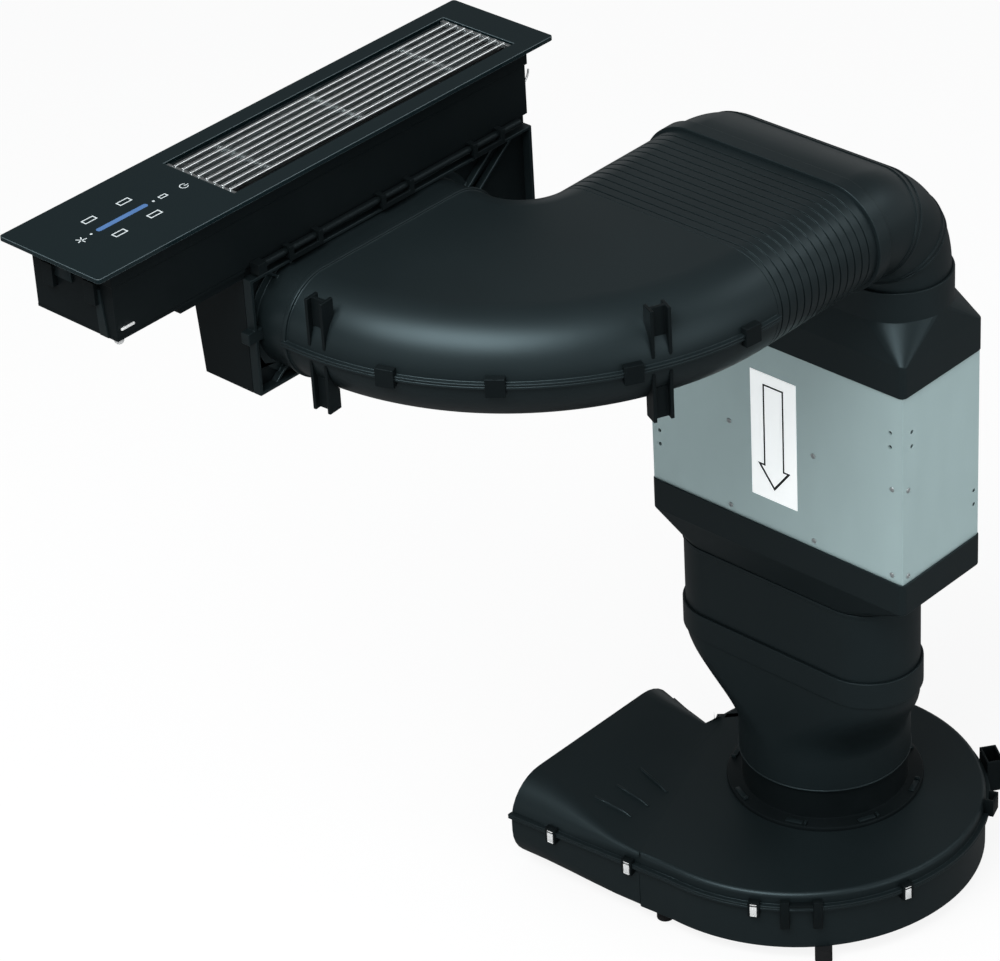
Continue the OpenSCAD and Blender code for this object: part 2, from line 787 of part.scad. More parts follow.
elbow_lip_l = 14;
ridge_angles = [152, 147, 120, 115];
ridge_turn = 2.5;
module elbow() {
    color(moulded) difference() {
        union() {
            elbow_course(duct_w, duct_h, 0);
            along_y([run_x, ribbed_end_y, -duct_z]) linear_extrude(elbow_lip_l)
                oval(duct_w + 3 * lip_out, duct_h + 3 * lip_out);
            translate([run_x, elbow_y, elbow_z]) rotate([0, 90, 0]) for (a = ridge_angles)
                rotate(a) rotate_extrude(angle = ridge_turn)
                    translate([elbow_r, 0]) rotate(90) oval(duct_w + lip_out, duct_h + lip_out);
        }
        elbow_course(bore_w, bore_h, over);
    }
}

// Upper adapter: flat socket, taper to the box and skirt over the box
module upper_adapter() {
    skirt_w = box_w + 2 * (skirt_wall + fit);
    skirt_d = box_d + 2 * (skirt_wall + fit);
    w = duct_w + 2 * socket_wall_out;
    h = duct_h + 2 * socket_wall_out;
    edge_r = 6;
    color(moulded) difference() {
        union() {
            translate([run_x, drop_y, upper_taper_z]) linear_extrude(upper_socket_h) oval(w, h);
            loft([
                [upper_skirt_z - bite, box_x, drop_y, skirt_w / 2 - inset, skirt_d / 2 - inset, edge_r],
                [upper_taper_z + bite, run_x, drop_y, w / 2 - inset, h / 2 - inset, h / 2 - inset]]);
            translate([box_x, drop_y, show_top_z]) linear_extrude(skirt_h)
                soft_rect(skirt_w, skirt_d, edge_r);
        }
        translate([run_x, drop_y, elbow_z - sleeve_l - seal_d]) linear_extrude(2 * sleeve_l)
            oval(duct_w + 2 * fit, duct_h + 2 * fit);
        loft([
            [upper_skirt_z - over, box_x, drop_y, box_w / 2 - skirt_wall - inset,
                box_d / 2 - skirt_wall - inset, edge_r],
            [upper_taper_z, run_x, drop_y, bore_w / 2, bore_h / 2, bore_h / 2],
            [elbow_z, run_x, drop_y, bore_w / 2, bore_h / 2, bore_h / 2]]);
        translate([box_x, drop_y, show_top_z - over]) linear_extrude(skirt_h + over - skirt_wall)
            square([box_w + 2 * fit, box_d + 2 * fit], center = true);
        translate([box_x, drop_y, upper_skirt_z - 2 * skirt_wall]) linear_extrude(3 * skirt_wall)
            square([box_w - 2 * skirt_wall, box_d - 2 * skirt_wall], center = true);
    }
}

// Lower adapter: the same skirt upside down, with a plain flat end
module lower_adapter() {
    skirt_w = box_w + 2 * (skirt_wall + fit);
    skirt_d = box_d + 2 * (skirt_wall + fit);
    edge_r = 6;
    color(moulded) {
        difference() {
            union() {
                loft([
                    [connector_z, drop_x, drop_y, duct_w / 2, duct_h / 2, duct_h / 2],
                    [lower_skirt_z + bite, box_x, drop_y, skirt_w / 2 - inset, skirt_d / 2 - inset,
                        edge_r]]);
                translate([box_x, drop_y, lower_skirt_z]) linear_extrude(skirt_h)
                    soft_rect(skirt_w, skirt_d, edge_r);
            }
            loft([
                [connector_z - over, drop_x, drop_y, bore_w / 2, bore_h / 2, bore_h / 2],
                [connector_z, drop_x, drop_y, bore_w / 2, bore_h / 2, bore_h / 2],
                [lower_skirt_z + over, box_x, drop_y, box_w / 2 - skirt_wall - inset,
                    box_d / 2 - skirt_wall - inset, edge_r]]);
            translate([box_x, drop_y, lower_skirt_z + skirt_wall]) linear_extrude(skirt_h)
                square([box_w + 2 * fit, box_d + 2 * fit], center = true);
            translate([box_x, drop_y, lower_skirt_z - over]) linear_extrude(3 * skirt_wall)
                square([box_w - 2 * skirt_wall, box_d - 2 * skirt_wall], center = true);
        }
        downward([drop_x, drop_y, connector_z]) {
            joint_sleeve();
            sleeve_root();
        }
    }
}

// Height of the box itself, inside both skirts
box_bottom_z = lower_skirt_z + skirt_wall;
box_top_z = upper_skirt_z - skirt_wall;
box_h = box_top_z - box_bottom_z;

// Pairs of screw holes near the box's upright edges: [share across, share of the higher one]
box_hole_r = 1.9;
hole_step_share = 0.075;
front_hole_shares = [[-0.47, 0.28], [0.452, 0.797]];
side_hole_shares = [[-0.382, 0.797], [0.444, 0.25]];
module box_holes() {
    translate([box_x, drop_y, show_bottom_z]) for (side = [-1, 1], row = [0, 1]) {
        for (p = front_hole_shares)
            translate([-side * p[0] * box_w, side * box_d / 2, (p[1] - row * hole_step_share) * box_show_h])
                rotate([90, 0, 0]) cylinder(r = box_hole_r, h = 6 * sheet_t, center = true);
        for (p = side_hole_shares)
            translate([side * box_w / 2, side * p[0] * box_d, (p[1] - row * hole_step_share) * box_show_h])
                rotate([0, 90, 0]) cylinder(r = box_hole_r, h = 6 * sheet_t, center = true);
    }
}

// Box case: front and back sheets with flanges round the open ends
module box_case() {
    color(zinc) difference() {
        box_sheets();
        box_holes();
    }
}

module box_sheets() {
    translate([box_x, drop_y, box_bottom_z]) {
        for (side = [-1, 1]) {
            translate([-box_w / 2 + sheet_t, side * (box_d - sheet_t) / 2 - sheet_t / 2, 0])
                cube([box_w - 2 * sheet_t, sheet_t, box_h]);
            for (z = [0, box_h - sheet_t])
                translate([-box_w / 2 + sheet_t, side > 0 ? box_d / 2 - pad_t - sheet_t : -box_d / 2, z])
                    cube([box_w - 2 * sheet_t, pad_t + sheet_t, sheet_t]);
        }
    }
}

// End panels: folded sheets riveted to the case at both sides
flange_in = 16;
module box_end_panels() {
    color(zinc) difference() {
        end_sheets();
        box_holes();
    }
}

module end_sheets() {
    for (side = [-1, 1])
        translate([box_x + side * (box_w - sheet_t) / 2, drop_y, box_bottom_z]) {
            translate([-sheet_t / 2, -box_d / 2, 0]) cube([sheet_t, box_d, box_h]);
            for (j = [-1, 1])
                translate([side > 0 ? -sheet_t / 2 - flange_in : -sheet_t / 2,
                    j * (box_d / 2 - 1.5 * sheet_t) - sheet_t / 2, 2 * sheet_t])
                    cube([flange_in + sheet_t, sheet_t, box_h - 4 * sheet_t]);
        }
}

// Blind rivets on all four sides: raised heads on two levels, in shares of the box
rivet_r = 2.2;
rivet_tip_share = 0.7;
rivet_high = 1;
rivet_x_shares = [-0.18, 0.154, 0.459];
rivet_side_share = -0.43;
rivet_level_shares = [0.035, 0.5];
module rivet_head() { cylinder(r1 = rivet_r, r2 = rivet_tip_share * rivet_r, h = rivet_high); }
module box_rivets() {
    color(steel) translate([box_x, drop_y, show_bottom_z])
        for (side = [-1, 1], level = rivet_level_shares) {
            for (share = rivet_x_shares)
                translate([-side * share * box_w, side * box_d / 2, level * box_show_h])
                    rotate([-side * 90, 0, 0]) rivet_head();
            translate([side * box_w / 2, side * rivet_side_share * box_d, level * box_show_h])
                rotate([0, side * 90, 0]) rivet_head();
        }
}

// Perforated liners that hold the absorber pads against the case
pad_t = 14;
module liner_sheets() {
    hole = 8;
    pitch = 30;
    nx = floor((box_w - 6 * flange_in) / pitch);
    nz = floor((box_h - 2 * flange_in) / pitch);
    color(zinc) for (side = [-1, 1])
        translate([box_x, drop_y + side * (box_d / 2 - sheet_t - pad_t - sheet_t / 2), box_bottom_z])
            difference() {
                translate([-box_w / 2 + sheet_t, -sheet_t / 2, 0])
                    cube([box_w - 2 * sheet_t, sheet_t, box_h]);
                for (i = [0 : nx - 1], k = [0 : nz - 1])
                    translate([(i - (nx - 1) / 2) * pitch - hole / 2, -over,
                        flange_in + k * pitch])
                        cube([hole, 2 * over, hole]);
            }
}

module absorber_pads() {
    color([0.35, 0.35, 0.36]) for (side = [-1, 1])
        translate([box_x - box_w / 2 + 2 * sheet_t + flange_in + fit,
            side > 0 ? drop_y + box_d / 2 - sheet_t - pad_t : drop_y - box_d / 2 + sheet_t,
            box_bottom_z + sheet_t])
            cube([box_w - 4 * sheet_t - 2 * flange_in - 2 * fit, pad_t, box_h - 2 * sheet_t]);
}

// Blank white flow label on the front of the box
label_w_share = 0.18;
label_h_share = 0.68;
label_low_share = 0.16;
label_t = 0.4;
module flow_label() {
    color("white") translate([box_x - label_w_share * box_w / 2, drop_y - box_d / 2 - label_t,
        show_bottom_z + label_low_share * box_show_h])
        cube([label_w_share * box_w, label_t, label_h_share * box_show_h]);
}

module flat_connector() {
    color(moulded) downward([drop_x, drop_y, connector_z]) {
        linear_extrude(connector_l + sleeve_l) oval_wall(duct_w, duct_h, duct_wall);
        linear_extrude(lip_t) oval_wall(duct_w + lip_out, duct_h + lip_out, lip_out);
    }
}

// Eased share of a move, for smooth changes of section
function eased(t) = t * t * (3 - 2 * t);

// Transition from the flat socket to the round end, with its front face flush
module change_course(g) {
    steps = 9;
    hx0 = duct_w / 2 + g - inset;
    hy0 = duct_h / 2 + g - inset;
    hr = round_r + g - inset;
    loft([for (k = [-1 : steps + 1])
        let (t = 1 - min(max(k, 0), steps) / steps, e = eased(t),
            hx = hx0 + e * (hr - hx0), hy = hy0 + e * (hr - hy0),
            beyond = k < 0 ? -bite : k > steps ? bite : 0)
        [change_z - t * change_h + beyond, drop_x, drop_y + e * round_offset, hx, hy, min(hx, hy)]]);
}

module flat_to_round() {
    wall = duct_wall;
    color(moulded) difference() {
        union() {
            change_course(0);
            downward([drop_x, drop_y, socket_z]) linear_extrude(socket_h)
                oval(duct_w + 2 * socket_wall_out, duct_h + 2 * socket_wall_out);
            downward([drop_x, fan_y, round_z]) cylinder(r = round_r, h = round_h);
        }
        change_course(-wall);
        downward([drop_x, drop_y, socket_z + over]) linear_extrude(sleeve_l + seal_d + over)
            oval(duct_w + 2 * fit, duct_h + 2 * fit);
        downward([drop_x, drop_y, socket_z + over]) linear_extrude(socket_h + over - bite / 2)
            oval(bore_w, bore_h);
        downward([drop_x, fan_y, round_z + over]) cylinder(r = round_r - wall, h = round_h + 2 * over);
    }
}

// Rubber seals of the sleeve joints and of the two flat sockets
module sleeve_seal() {
    slack = 0.05;
    translate([0, 0, sleeve_l / 2 - seal_w / 2 + slack]) linear_extrude(seal_w - 2 * slack)
        oval_wall(bore_w - 2 * slack, bore_h - 2 * slack, seal_d + fit - 2 * slack);
}

module joint_seals() {
    color(rubber) {
        along_y([run_x, bend_cy, -duct_z]) sleeve_seal();
        along_y([run_x, ribbed_end_y, -duct_z]) sleeve_seal();
        downward([drop_x, drop_y, connector_z]) sleeve_seal();
        downward([run_x, drop_y, elbow_z - sleeve_l]) linear_extrude(seal_d)
            oval_wall(duct_w, duct_h, duct_wall);
        downward([drop_x, drop_y, socket_z - sleeve_l]) linear_extrude(seal_d)
            oval_wall(duct_w, duct_h, duct_wall);
    }
}

// Fan

// Centres of the scroll's three arcs about the fan's axis, each tangent to the next
scroll_cx = 17.5;
scroll_cy = 20.5;
front_c = [-scroll_cx, -scroll_cy];
right_c = [front_c[0] + scroll_front_r - scroll_right_r, front_c[1]];
back_c = [right_c[0], right_c[1] + scroll_right_r - scroll_back_r];
// Cut-off between the scroll and the outlet
tongue_gap = 4;
tongue_x = back_c[0] - scroll_back_r - tongue_gap;
tongue_y = -7;

// Quarter of a disc in quadrant q, counted from +X anticlockwise
module quarter(c, r, q) {
    translate(c) rotate(q * 90) intersection() {
        circle(r = r);
        square([r + over, r + over]);
    }
}

// Place on the outlet's front wall, which runs straight from the scroll to the mouth
function front_wall_y(x) = let (x0 = front_c[0], y0 = front_c[1] - scroll_front_r)
    y0 + (x - x0) / (-outlet_l - x0) * (-mouth_front - y0);
function back_wall_y(x) = tongue_y + (x - tongue_x) / (-outlet_l - tongue_x) * (mouth_back - tongue_y);

// Whole outline of the housing, grown by g, with its outlet drawn to the mouth and past it by extra
module scroll(g, extra) {
    reach = outlet_l + extra;
    quarter(front_c, scroll_front_r + g, 3);
    quarter(right_c, scroll_right_r + g, 0);
    quarter(back_c, scroll_back_r + g, 1);
    circle(r = scroll_back_r / 2);
    polygon([
        [-reach, back_wall_y(-reach) + g],
        [tongue_x, tongue_y + g],
        [back_c[0] - scroll_back_r - g, back_c[1]],
        back_c,
        right_c,
        [front_c[0], front_c[1] - scroll_front_r - g],
        [-reach, front_wall_y(-reach) - g]]);
}

// Round part of the scroll, cut off along the leaning line where the outlet starts
outlet_start = 54;
outlet_lean = 0.35;
back_overlap = 20;
start_y = front_wall_y(-outlet_start);
module round_scroll(g) {
    quarter(front_c, scroll_front_r + g, 3);
    quarter(right_c, scroll_right_r + g, 0);
    quarter(back_c, scroll_back_r + g, 1);
    polygon([
        [-outlet_start - outlet_lean * (back_overlap - start_y), back_overlap],
        [back_overlap, back_overlap],
        [back_overlap, front_c[1] - back_overlap],
        [front_c[0], front_c[1] - scroll_front_r - g],
        [-outlet_start + outlet_lean * g, start_y - g]]);
}

// Rounded hood of the outlet: rises from the scroll to the mouth, grown by g
outlet_shares = [0, 0.2, 0.4, 0.6, 0.8, 1];
outlet_inset = 0.3;
edge_round = 4;
mouth_round_share = 0.44;
function hood_x(share) = -outlet_start - share * (outlet_l - outlet_start);
function hood_lean(share) = outlet_lean * (1 - share);
function hood_back_x(share) = hood_x(share) - hood_lean(share) * (tongue_y - start_y);
function hood_back_y(share, g) = share == 0 ? back_overlap : back_wall_y(hood_back_x(share)) + g;
function hood_section(share, g) = let (
    e = eased(share),
    y0 = front_wall_y(hood_x(share)) - g,
    y1 = hood_back_y(share, g),
    z0 = fan_bottom_z - e * outlet_drop - g,
    z1 = fan_top_z + e * (outlet_top_z - fan_top_z) + g,
    r = edge_round + e * (outlet_h * mouth_round_share - edge_round) + g)
    [-hood_x(share), (z0 + z1) / 2, (y0 + y1) / 2, (z1 - z0) / 2, (y1 - y0) / 2, r,
        hood_lean(share), start_y];
function inset_section(s, dz, inset) =
    [s[0] + dz, s[1], s[2], s[3] - inset, s[4] - inset, s[5], s[6], s[7]];
module outlet_hood(g, extra) {
    first = hood_section(0, g);
    mouth = hood_section(1, g);
    sections = [for (share = outlet_shares) hood_section(share, g)];
    rotate([0, -90, 0]) loft(concat(
        [inset_section(first, -edge_round, outlet_inset)],
        [inset_section(first, 0, outlet_inset / 2)],
        [for (i = [1 : len(sections) - 1]) sections[i]],
        extra > 0 ? [inset_section(mouth, extra, 0)] : []));
}

// Wedge of free air between the outlet's back wall and the scroll
module tongue_notch(g) {
    difference() {
        polygon([
            [tongue_x, tongue_y + g],
            [tongue_x - 2 * back_overlap, tongue_y + g + 2 * back_overlap],
            [tongue_x - 2 * back_overlap, 5 * back_overlap],
            [-outlet_start - back_overlap, 5 * back_overlap],
            [back_c[0] - scroll_back_r, back_c[1] + g]]);
        translate(back_c) circle(r = scroll_back_r + g);
    }
}

// Whole fan housing as one solid, grown by g
module fan_solid(g, extra) {
    translate([drop_x, fan_y, 0]) difference() {
        union() {
            translate([0, 0, fan_bottom_z - g]) linear_extrude(fan_top_z - fan_bottom_z + 2 * g)
                round_scroll(g);
            outlet_hood(g, extra);
        }
        translate([0, 0, outlet_bottom_z - outlet_h]) linear_extrude(3 * outlet_h) tongue_notch(g);
    }
}

// Flange round the split line, above it for up = 1 and below for up = -1
scroll_flange = 4.5;
scroll_flange_t = 2.5;
module scroll_rim(up) {
    translate([drop_x, fan_y, up > 0 ? split_z : split_z - scroll_flange_t])
        linear_extrude(scroll_flange_t) difference() {
            scroll(scroll_flange, 0);
            scroll(-bite, over);
        }
}

clip_front_angles = [-63, -18];
clip_wall_places = [-150, -64];
housing_clip_w = 7;
housing_clip_h = 16;
clip_gauge = 1;

module fan_upper_shell() {
    color(moulded) difference() {
        union() {
            difference() {
                fan_solid(0, 0);
                fan_solid(-scroll_wall, over);
                translate([-outlet_l, 0, outlet_bottom_z - over])
                    cube([4 * outlet_l, 4 * outlet_l, split_z - outlet_bottom_z + over]);
            }
            scroll_rim(1);
        }
        translate([drop_x, fan_y, split_z]) cylinder(r = eye_r + scroll_wall, h = 2 * upper_h);
    }
}

module fan_lower_shell() {
    color(moulded) {
        difference() {
            fan_solid(0, 0);
            fan_solid(-scroll_wall, over);
            translate([-outlet_l, 0, split_z])
                cube([4 * outlet_l, 4 * outlet_l, 4 * outlet_l]);
        }
        scroll_rim(-1);
    }
}

// Bayonet ring with the round neck that the transition slides over
module inlet_ring() {
    neck_r = round_r - duct_wall - fit;
    lug_turn = 14;
    lug_t = 1;
    color(moulded) translate([drop_x, fan_y, 0]) difference() {
        union() {
            translate([0, 0, fan_top_z]) cylinder(r = ring_r, h = ring_t);
            translate([0, 0, fan_top_z]) cylinder(r = neck_r, h = ring_t + neck_h + sleeve_l);
            for (a = [0 : 45 : 315]) rotate(a) rotate_extrude(angle = lug_turn)
                translate([ring_r - 2 * ring_t, fan_top_z + ring_t - bite])
                    square([2 * ring_t - lug_t, lug_t + bite]);
        }
        translate([0, 0, fan_top_z - over])
            cylinder(r = neck_r - duct_wall, h = ring_t + neck_h + sleeve_l + 2 * over);
    }
}

// Bellmouth under the ring that leads into the impeller's eye
nozzle_t = 1.6;
nozzle_h = 12;
eye_gap = 3;
module inlet_nozzle() {
    mouth_r = eye_r - eye_gap - nozzle_t;
    bell = 4;
    color(dark_moulded) translate([drop_x, fan_y, fan_top_z - scroll_wall]) rotate_extrude() union() {
        translate([mouth_r, -nozzle_h]) square([nozzle_t, nozzle_h + scroll_wall]);
        translate([mouth_r, scroll_wall - nozzle_t])
            square([eye_r + scroll_wall - fit - mouth_r, nozzle_t]);
        translate([eye_r - bell, -nozzle_t]) square([bell + scroll_wall * 2, nozzle_t]);
        translate([eye_r - bell, -nozzle_t]) square([nozzle_t, scroll_wall + nozzle_t]);
    }
}

// Impeller between the shroud ring at the top and the back plate at the bottom
wheel_gap = 4;
wheel_top_z = fan_top_z - scroll_wall - wheel_gap;
wheel_bottom_z = wheel_top_z - wheel_h;
plate_t = 2;
wheel_blade_t = 2;
rotor_h = 26;
rotor_wall = 3;
module wheel_blade() {
    arc_r = wheel_r * 0.75;
    intersection() {
        translate([0, 0, wheel_bottom_z + plate_t / 2]) linear_extrude(wheel_h - plate_t) difference() {
            translate([arc_r * 0.9, -arc_r * 0.75]) circle(r = arc_r);
            translate([arc_r * 0.9, -arc_r * 0.75]) circle(r = arc_r - wheel_blade_t);
        }
        translate([0, 0, wheel_bottom_z]) rotate_extrude(angle = 100)
            translate([eye_r + bite, 0]) square([wheel_r - eye_r - 2 * bite, wheel_h]);
    }
}

module impeller() {
    color(dark_moulded) translate([drop_x, fan_y, 0]) {
        difference() {
            union() {
                translate([0, 0, wheel_bottom_z]) cylinder(r = wheel_r, h = plate_t);
                translate([0, 0, wheel_top_z - plate_t]) cylinder(r = wheel_r, h = plate_t);
                for (i = [0 : wheel_blades - 1]) rotate(i * 360 / wheel_blades) wheel_blade();
            }
            translate([0, 0, wheel_top_z - plate_t - over]) cylinder(r = eye_r, h = plate_t + 2 * over);
            translate([0, 0, wheel_bottom_z - over]) cylinder(r = rotor_r, h = wheel_h);
        }
    }
}

// Domed hub that closes the impeller over the rotor
module impeller_hub() {
    color(dark_moulded) translate([drop_x, fan_y, wheel_bottom_z + rotor_h]) difference() {
        cylinder(r1 = rotor_r, r2 = rotor_r * 0.6, h = plate_t * 2);
        translate([0, 0, -over]) cylinder(r = shaft_r, h = plate_t * 2 + 2 * over);
    }
}

module motor_rotor() {
    color(steel) translate([drop_x, fan_y, wheel_bottom_z]) difference() {
        cylinder(r = rotor_r, h = rotor_h);
        translate([0, 0, -over]) cylinder(r = rotor_r - rotor_wall, h = rotor_h - rotor_wall + over);
        translate([0, 0, -over]) cylinder(r = shaft_r, h = rotor_h + 2 * over);
    }
}

air_gap = 1;
bearing_t = 6;
bearing_r = 11;
bearing_wall_r = 14;
stator_lift = 1.5;
stator_z = wheel_bottom_z + stator_lift;
stator_h = 18;
slot_w = 2;
plate_z = fan_bottom_z + scroll_wall;
module motor_stator() {
    color([0.45, 0.3, 0.2]) translate([drop_x, fan_y, stator_z]) difference() {
        cylinder(r = rotor_r - rotor_wall - air_gap, h = stator_h);
        translate([0, 0, -over]) cylinder(r = bearing_wall_r, h = stator_h + 2 * over);
        for (a = [0 : 40 : 320]) rotate(a) translate([rotor_r - 4 * rotor_wall, -slot_w / 2, -over])
            cube([rotor_r, slot_w, stator_h + 2 * over]);
    }
}

shaft_gap = 0.05;
shaft_end = 2;
module motor_shaft() {
    color(steel) translate([drop_x, fan_y, plate_z + shaft_end])
        cylinder(r = shaft_r, h = wheel_bottom_z + rotor_h + 2 * plate_t - plate_z);
}

module bearings() {
    color(steel) for (z = [stator_z, stator_z + stator_h - bearing_t])
        translate([drop_x, fan_y, z]) difference() {
            cylinder(r = bearing_r, h = bearing_t);
            translate([0, 0, -over]) cylinder(r = shaft_r + shaft_gap, h = bearing_t + 2 * over);
        }
}

// Motor plate on the floor of the fan, with the tube that holds the bearings and the stator
plate_r = 58;
motor_plate_t = 2.5;
motor_screw_r = 2.1;
motor_head_r = 4;
motor_head_t = 2;
motor_screw_in = 6;
screw_gap = 0.1;
module motor_plate() {
    color(zinc) translate([drop_x, fan_y, plate_z]) difference() {
        union() {
            cylinder(r = plate_r, h = motor_plate_t);
            cylinder(r = bearing_wall_r, h = stator_z + stator_h - plate_z);
        }
        translate([0, 0, -over]) cylinder(r = bearing_r, h = stator_z + stator_h - plate_z + 2 * over);
        for (a = [45 : 90 : 315]) rotate(a) translate([plate_r - motor_screw_in, 0, -over])
            cylinder(r = motor_screw_r + screw_gap, h = motor_plate_t + 2 * over);
    }
}

module motor_screws() {
    color(steel) translate([drop_x, fan_y, plate_z]) for (a = [45 : 90 : 315]) rotate(a)
        translate([plate_r - motor_screw_in, 0, 0]) {
            cylinder(r = motor_screw_r, h = motor_plate_t);
            translate([0, 0, motor_plate_t]) cylinder(r = motor_head_r, h = motor_head_t);
        }
}

// Rubber feet: two under the outlet and three under the scroll
foot_r = 8;
foot_places = [[113, -143], [60, 112], [-40, -186]];
outlet_foot_y_shares = [-0.78, -0.14];
module rubber_feet() {
    floor_z = outlet_bottom_z - foot_h;
    color(rubber) translate([drop_x, fan_y, floor_z]) {
        for (p = foot_places) translate([p[0], p[1], 0]) cylinder(r = foot_r, h = fan_bottom_z - floor_z);
        for (share = outlet_foot_y_shares)
            translate([-outlet_l + 2 * foot_r, share * mouth_front, 0]) cylinder(r = foot_r, h = foot_h);
    }
}

// Spring clips over the split flange
module housing_clip() {
    translate([fit, -housing_clip_w / 2, -housing_clip_h / 2]) difference() {
        cube([scroll_flange + 1.5 * clip_gauge, housing_clip_w, housing_clip_h]);
        translate([-over, -over, housing_clip_h / 2 - scroll_flange_t - fit])
            cube([scroll_flange + over + fit, housing_clip_w + 2 * over,
                2 * scroll_flange_t + 2 * fit]);
    }
}

module housing_clips() {
    wall_turn = atan2(-mouth_front - front_c[1] + scroll_front_r, -outlet_l - front_c[0]);
    color(steel) translate([drop_x, fan_y, split_z]) {
        for (a = clip_front_angles) translate(front_c) rotate(a) translate([scroll_front_r, 0, 0])
            housing_clip();
        for (x = clip_wall_places) translate([x, front_wall_y(x)]) rotate(wall_turn + 90)
            housing_clip();
    }
}

// Terminal box on the right of the scroll
module terminal_box() {
    box_l = 26;
    wall = 2;
    box_high = 34;
    depth = 16;
    color(dark_moulded) translate([drop_x + right_c[0], fan_y + right_c[1], fan_top_z - box_high])
        rotate(54) translate([scroll_right_r + scroll_flange + fit, -box_l / 2, 0]) {
            difference() {
                cube([depth, box_l, box_high]);
                translate([wall, wall, wall]) cube([depth - 2 * wall, box_l - 2 * wall, box_high]);
            }
            translate([-scroll_flange, wall, 0]) cube([scroll_flange + bite, box_l - 2 * wall, wall]);
        }
}

glass_panel();
seal_frame();
inlet_grille();
grease_filter();
filter_mesh();
filter_tray();
inlet_housing();
touch_board();
electronics_cover();
power_board();
port_flange();
flange_rail();
snap_latches();
worktop_clamps();
clamp_screws();
end_spring_wire();
bend_upper_shell();
bend_lower_shell();
seam_clips();
bend_brackets();
ribbed_duct();
elbow();
upper_adapter();
box_case();
box_end_panels();
box_rivets();
liner_sheets();
absorber_pads();
flow_label();
lower_adapter();
flat_connector();
flat_to_round();
joint_seals();
inlet_ring();
inlet_nozzle();
fan_upper_shell();
fan_lower_shell();
housing_clips();
impeller();
impeller_hub();
motor_rotor();
motor_stator();
motor_shaft();
bearings();
motor_plate();
motor_screws();
rubber_feet();
terminal_box();
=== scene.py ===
# %% [markdown]
# A worktop downdraft vent: a black glass panel with a steel grille draws the air down,
# a flat duct carries it round a bend and an elbow, through a sheet metal box and a round
# neck, and a flat scroll fan at the bottom blows it out.
# The solids come from the CAD model as a fixed frame, and this file dresses them.

# %% Load the CAD frame
import bpy
import bmesh
import json
import math
from mathutils import Matrix, Vector
from mathutils.bvhtree import BVHTree


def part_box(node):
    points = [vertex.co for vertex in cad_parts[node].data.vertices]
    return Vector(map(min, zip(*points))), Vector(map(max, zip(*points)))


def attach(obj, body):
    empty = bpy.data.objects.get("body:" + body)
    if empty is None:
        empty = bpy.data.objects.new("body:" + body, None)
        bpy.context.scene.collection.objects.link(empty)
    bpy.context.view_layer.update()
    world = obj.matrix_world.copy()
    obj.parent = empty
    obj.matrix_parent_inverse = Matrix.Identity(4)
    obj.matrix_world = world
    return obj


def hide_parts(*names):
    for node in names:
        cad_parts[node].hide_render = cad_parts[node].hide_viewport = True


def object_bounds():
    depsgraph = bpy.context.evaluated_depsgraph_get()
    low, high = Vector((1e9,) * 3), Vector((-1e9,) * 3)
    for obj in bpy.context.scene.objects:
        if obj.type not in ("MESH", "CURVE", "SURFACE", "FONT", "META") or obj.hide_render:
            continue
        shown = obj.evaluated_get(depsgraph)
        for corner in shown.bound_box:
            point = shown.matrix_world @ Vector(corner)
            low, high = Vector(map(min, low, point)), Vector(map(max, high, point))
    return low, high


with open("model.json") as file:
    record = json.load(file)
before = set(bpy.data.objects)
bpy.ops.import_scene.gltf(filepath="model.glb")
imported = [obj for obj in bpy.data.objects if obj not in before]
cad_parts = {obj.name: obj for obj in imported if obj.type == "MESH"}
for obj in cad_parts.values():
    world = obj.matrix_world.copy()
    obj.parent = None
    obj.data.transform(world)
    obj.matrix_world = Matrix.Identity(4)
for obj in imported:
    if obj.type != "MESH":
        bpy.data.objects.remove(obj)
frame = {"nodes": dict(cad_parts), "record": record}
cad_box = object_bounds()
scene = bpy.context.scene
print("CAD box", [round(c, 4) for corner in cad_box for c in corner])

# %% [markdown]
# The camera stands where the photographer stood. Its direction, roll and distance were
# solved from the corners of the glass panel and the box, so the model lines up with the
# photograph without any fitting. It is a long lens, which is why parallels hardly converge.

# %% Camera
AZIMUTH, ELEVATION, ROLL = 44.58319683, 32.5059018, -3.50725716
CAMERA_PLACE = (2.196963, -2.008997, 1.556741)
LENS = 149.77

turn, rise, tilt = (math.radians(v) for v in (AZIMUTH, ELEVATION, ROLL))
back = Vector((math.sin(turn) * math.cos(rise), -math.cos(turn) * math.cos(rise), math.sin(rise)))
right = Vector((math.cos(turn), math.sin(turn), 0.0))
up = back.cross(right)
across = math.cos(tilt) * right + math.sin(tilt) * up
upright = -math.sin(tilt) * right + math.cos(tilt) * up
camera_data = bpy.data.cameras.new("photo_camera")
camera_data.lens = LENS
camera_data.sensor_width = 36.0
camera_data.sensor_fit = "HORIZONTAL"
camera = bpy.data.objects.new("photo_camera", camera_data)
placement = Matrix((across, upright, back)).transposed().to_4x4()
placement.translation = Vector(CAMERA_PLACE)
camera.matrix_world = placement
scene.collection.objects.link(camera)
scene.camera = camera
scene.view_settings.view_transform = "Standard"
print("camera", tuple(round(c, 3) for c in camera.location), "lens", LENS)

# %% [markdown]
# Small helpers. A node tree reads better when each node is made in one call, together with
# its links. Every shader group has the same sockets for its shades and its smoothness, and
# some of its own.

# %% Node helpers
FLOAT, COLOUR, VECTOR = "NodeSocketFloat", "NodeSocketColor", "NodeSocketVector"


def put(tree, kind, place=(0, 0), **settings):
    """Adds a node; settings are its attributes, and inputs={name: value or source} its inputs."""
    node = tree.nodes.new(kind)
    node.location = place
    inputs = settings.pop("inputs", {})
    for name, value in settings.items():
        setattr(node, name, value)
    for name, value in inputs.items():
        if isinstance(value, bpy.types.NodeSocket):
            tree.links.new(value, node.inputs[name])
        else:
            node.inputs[name].default_value = value
    return node


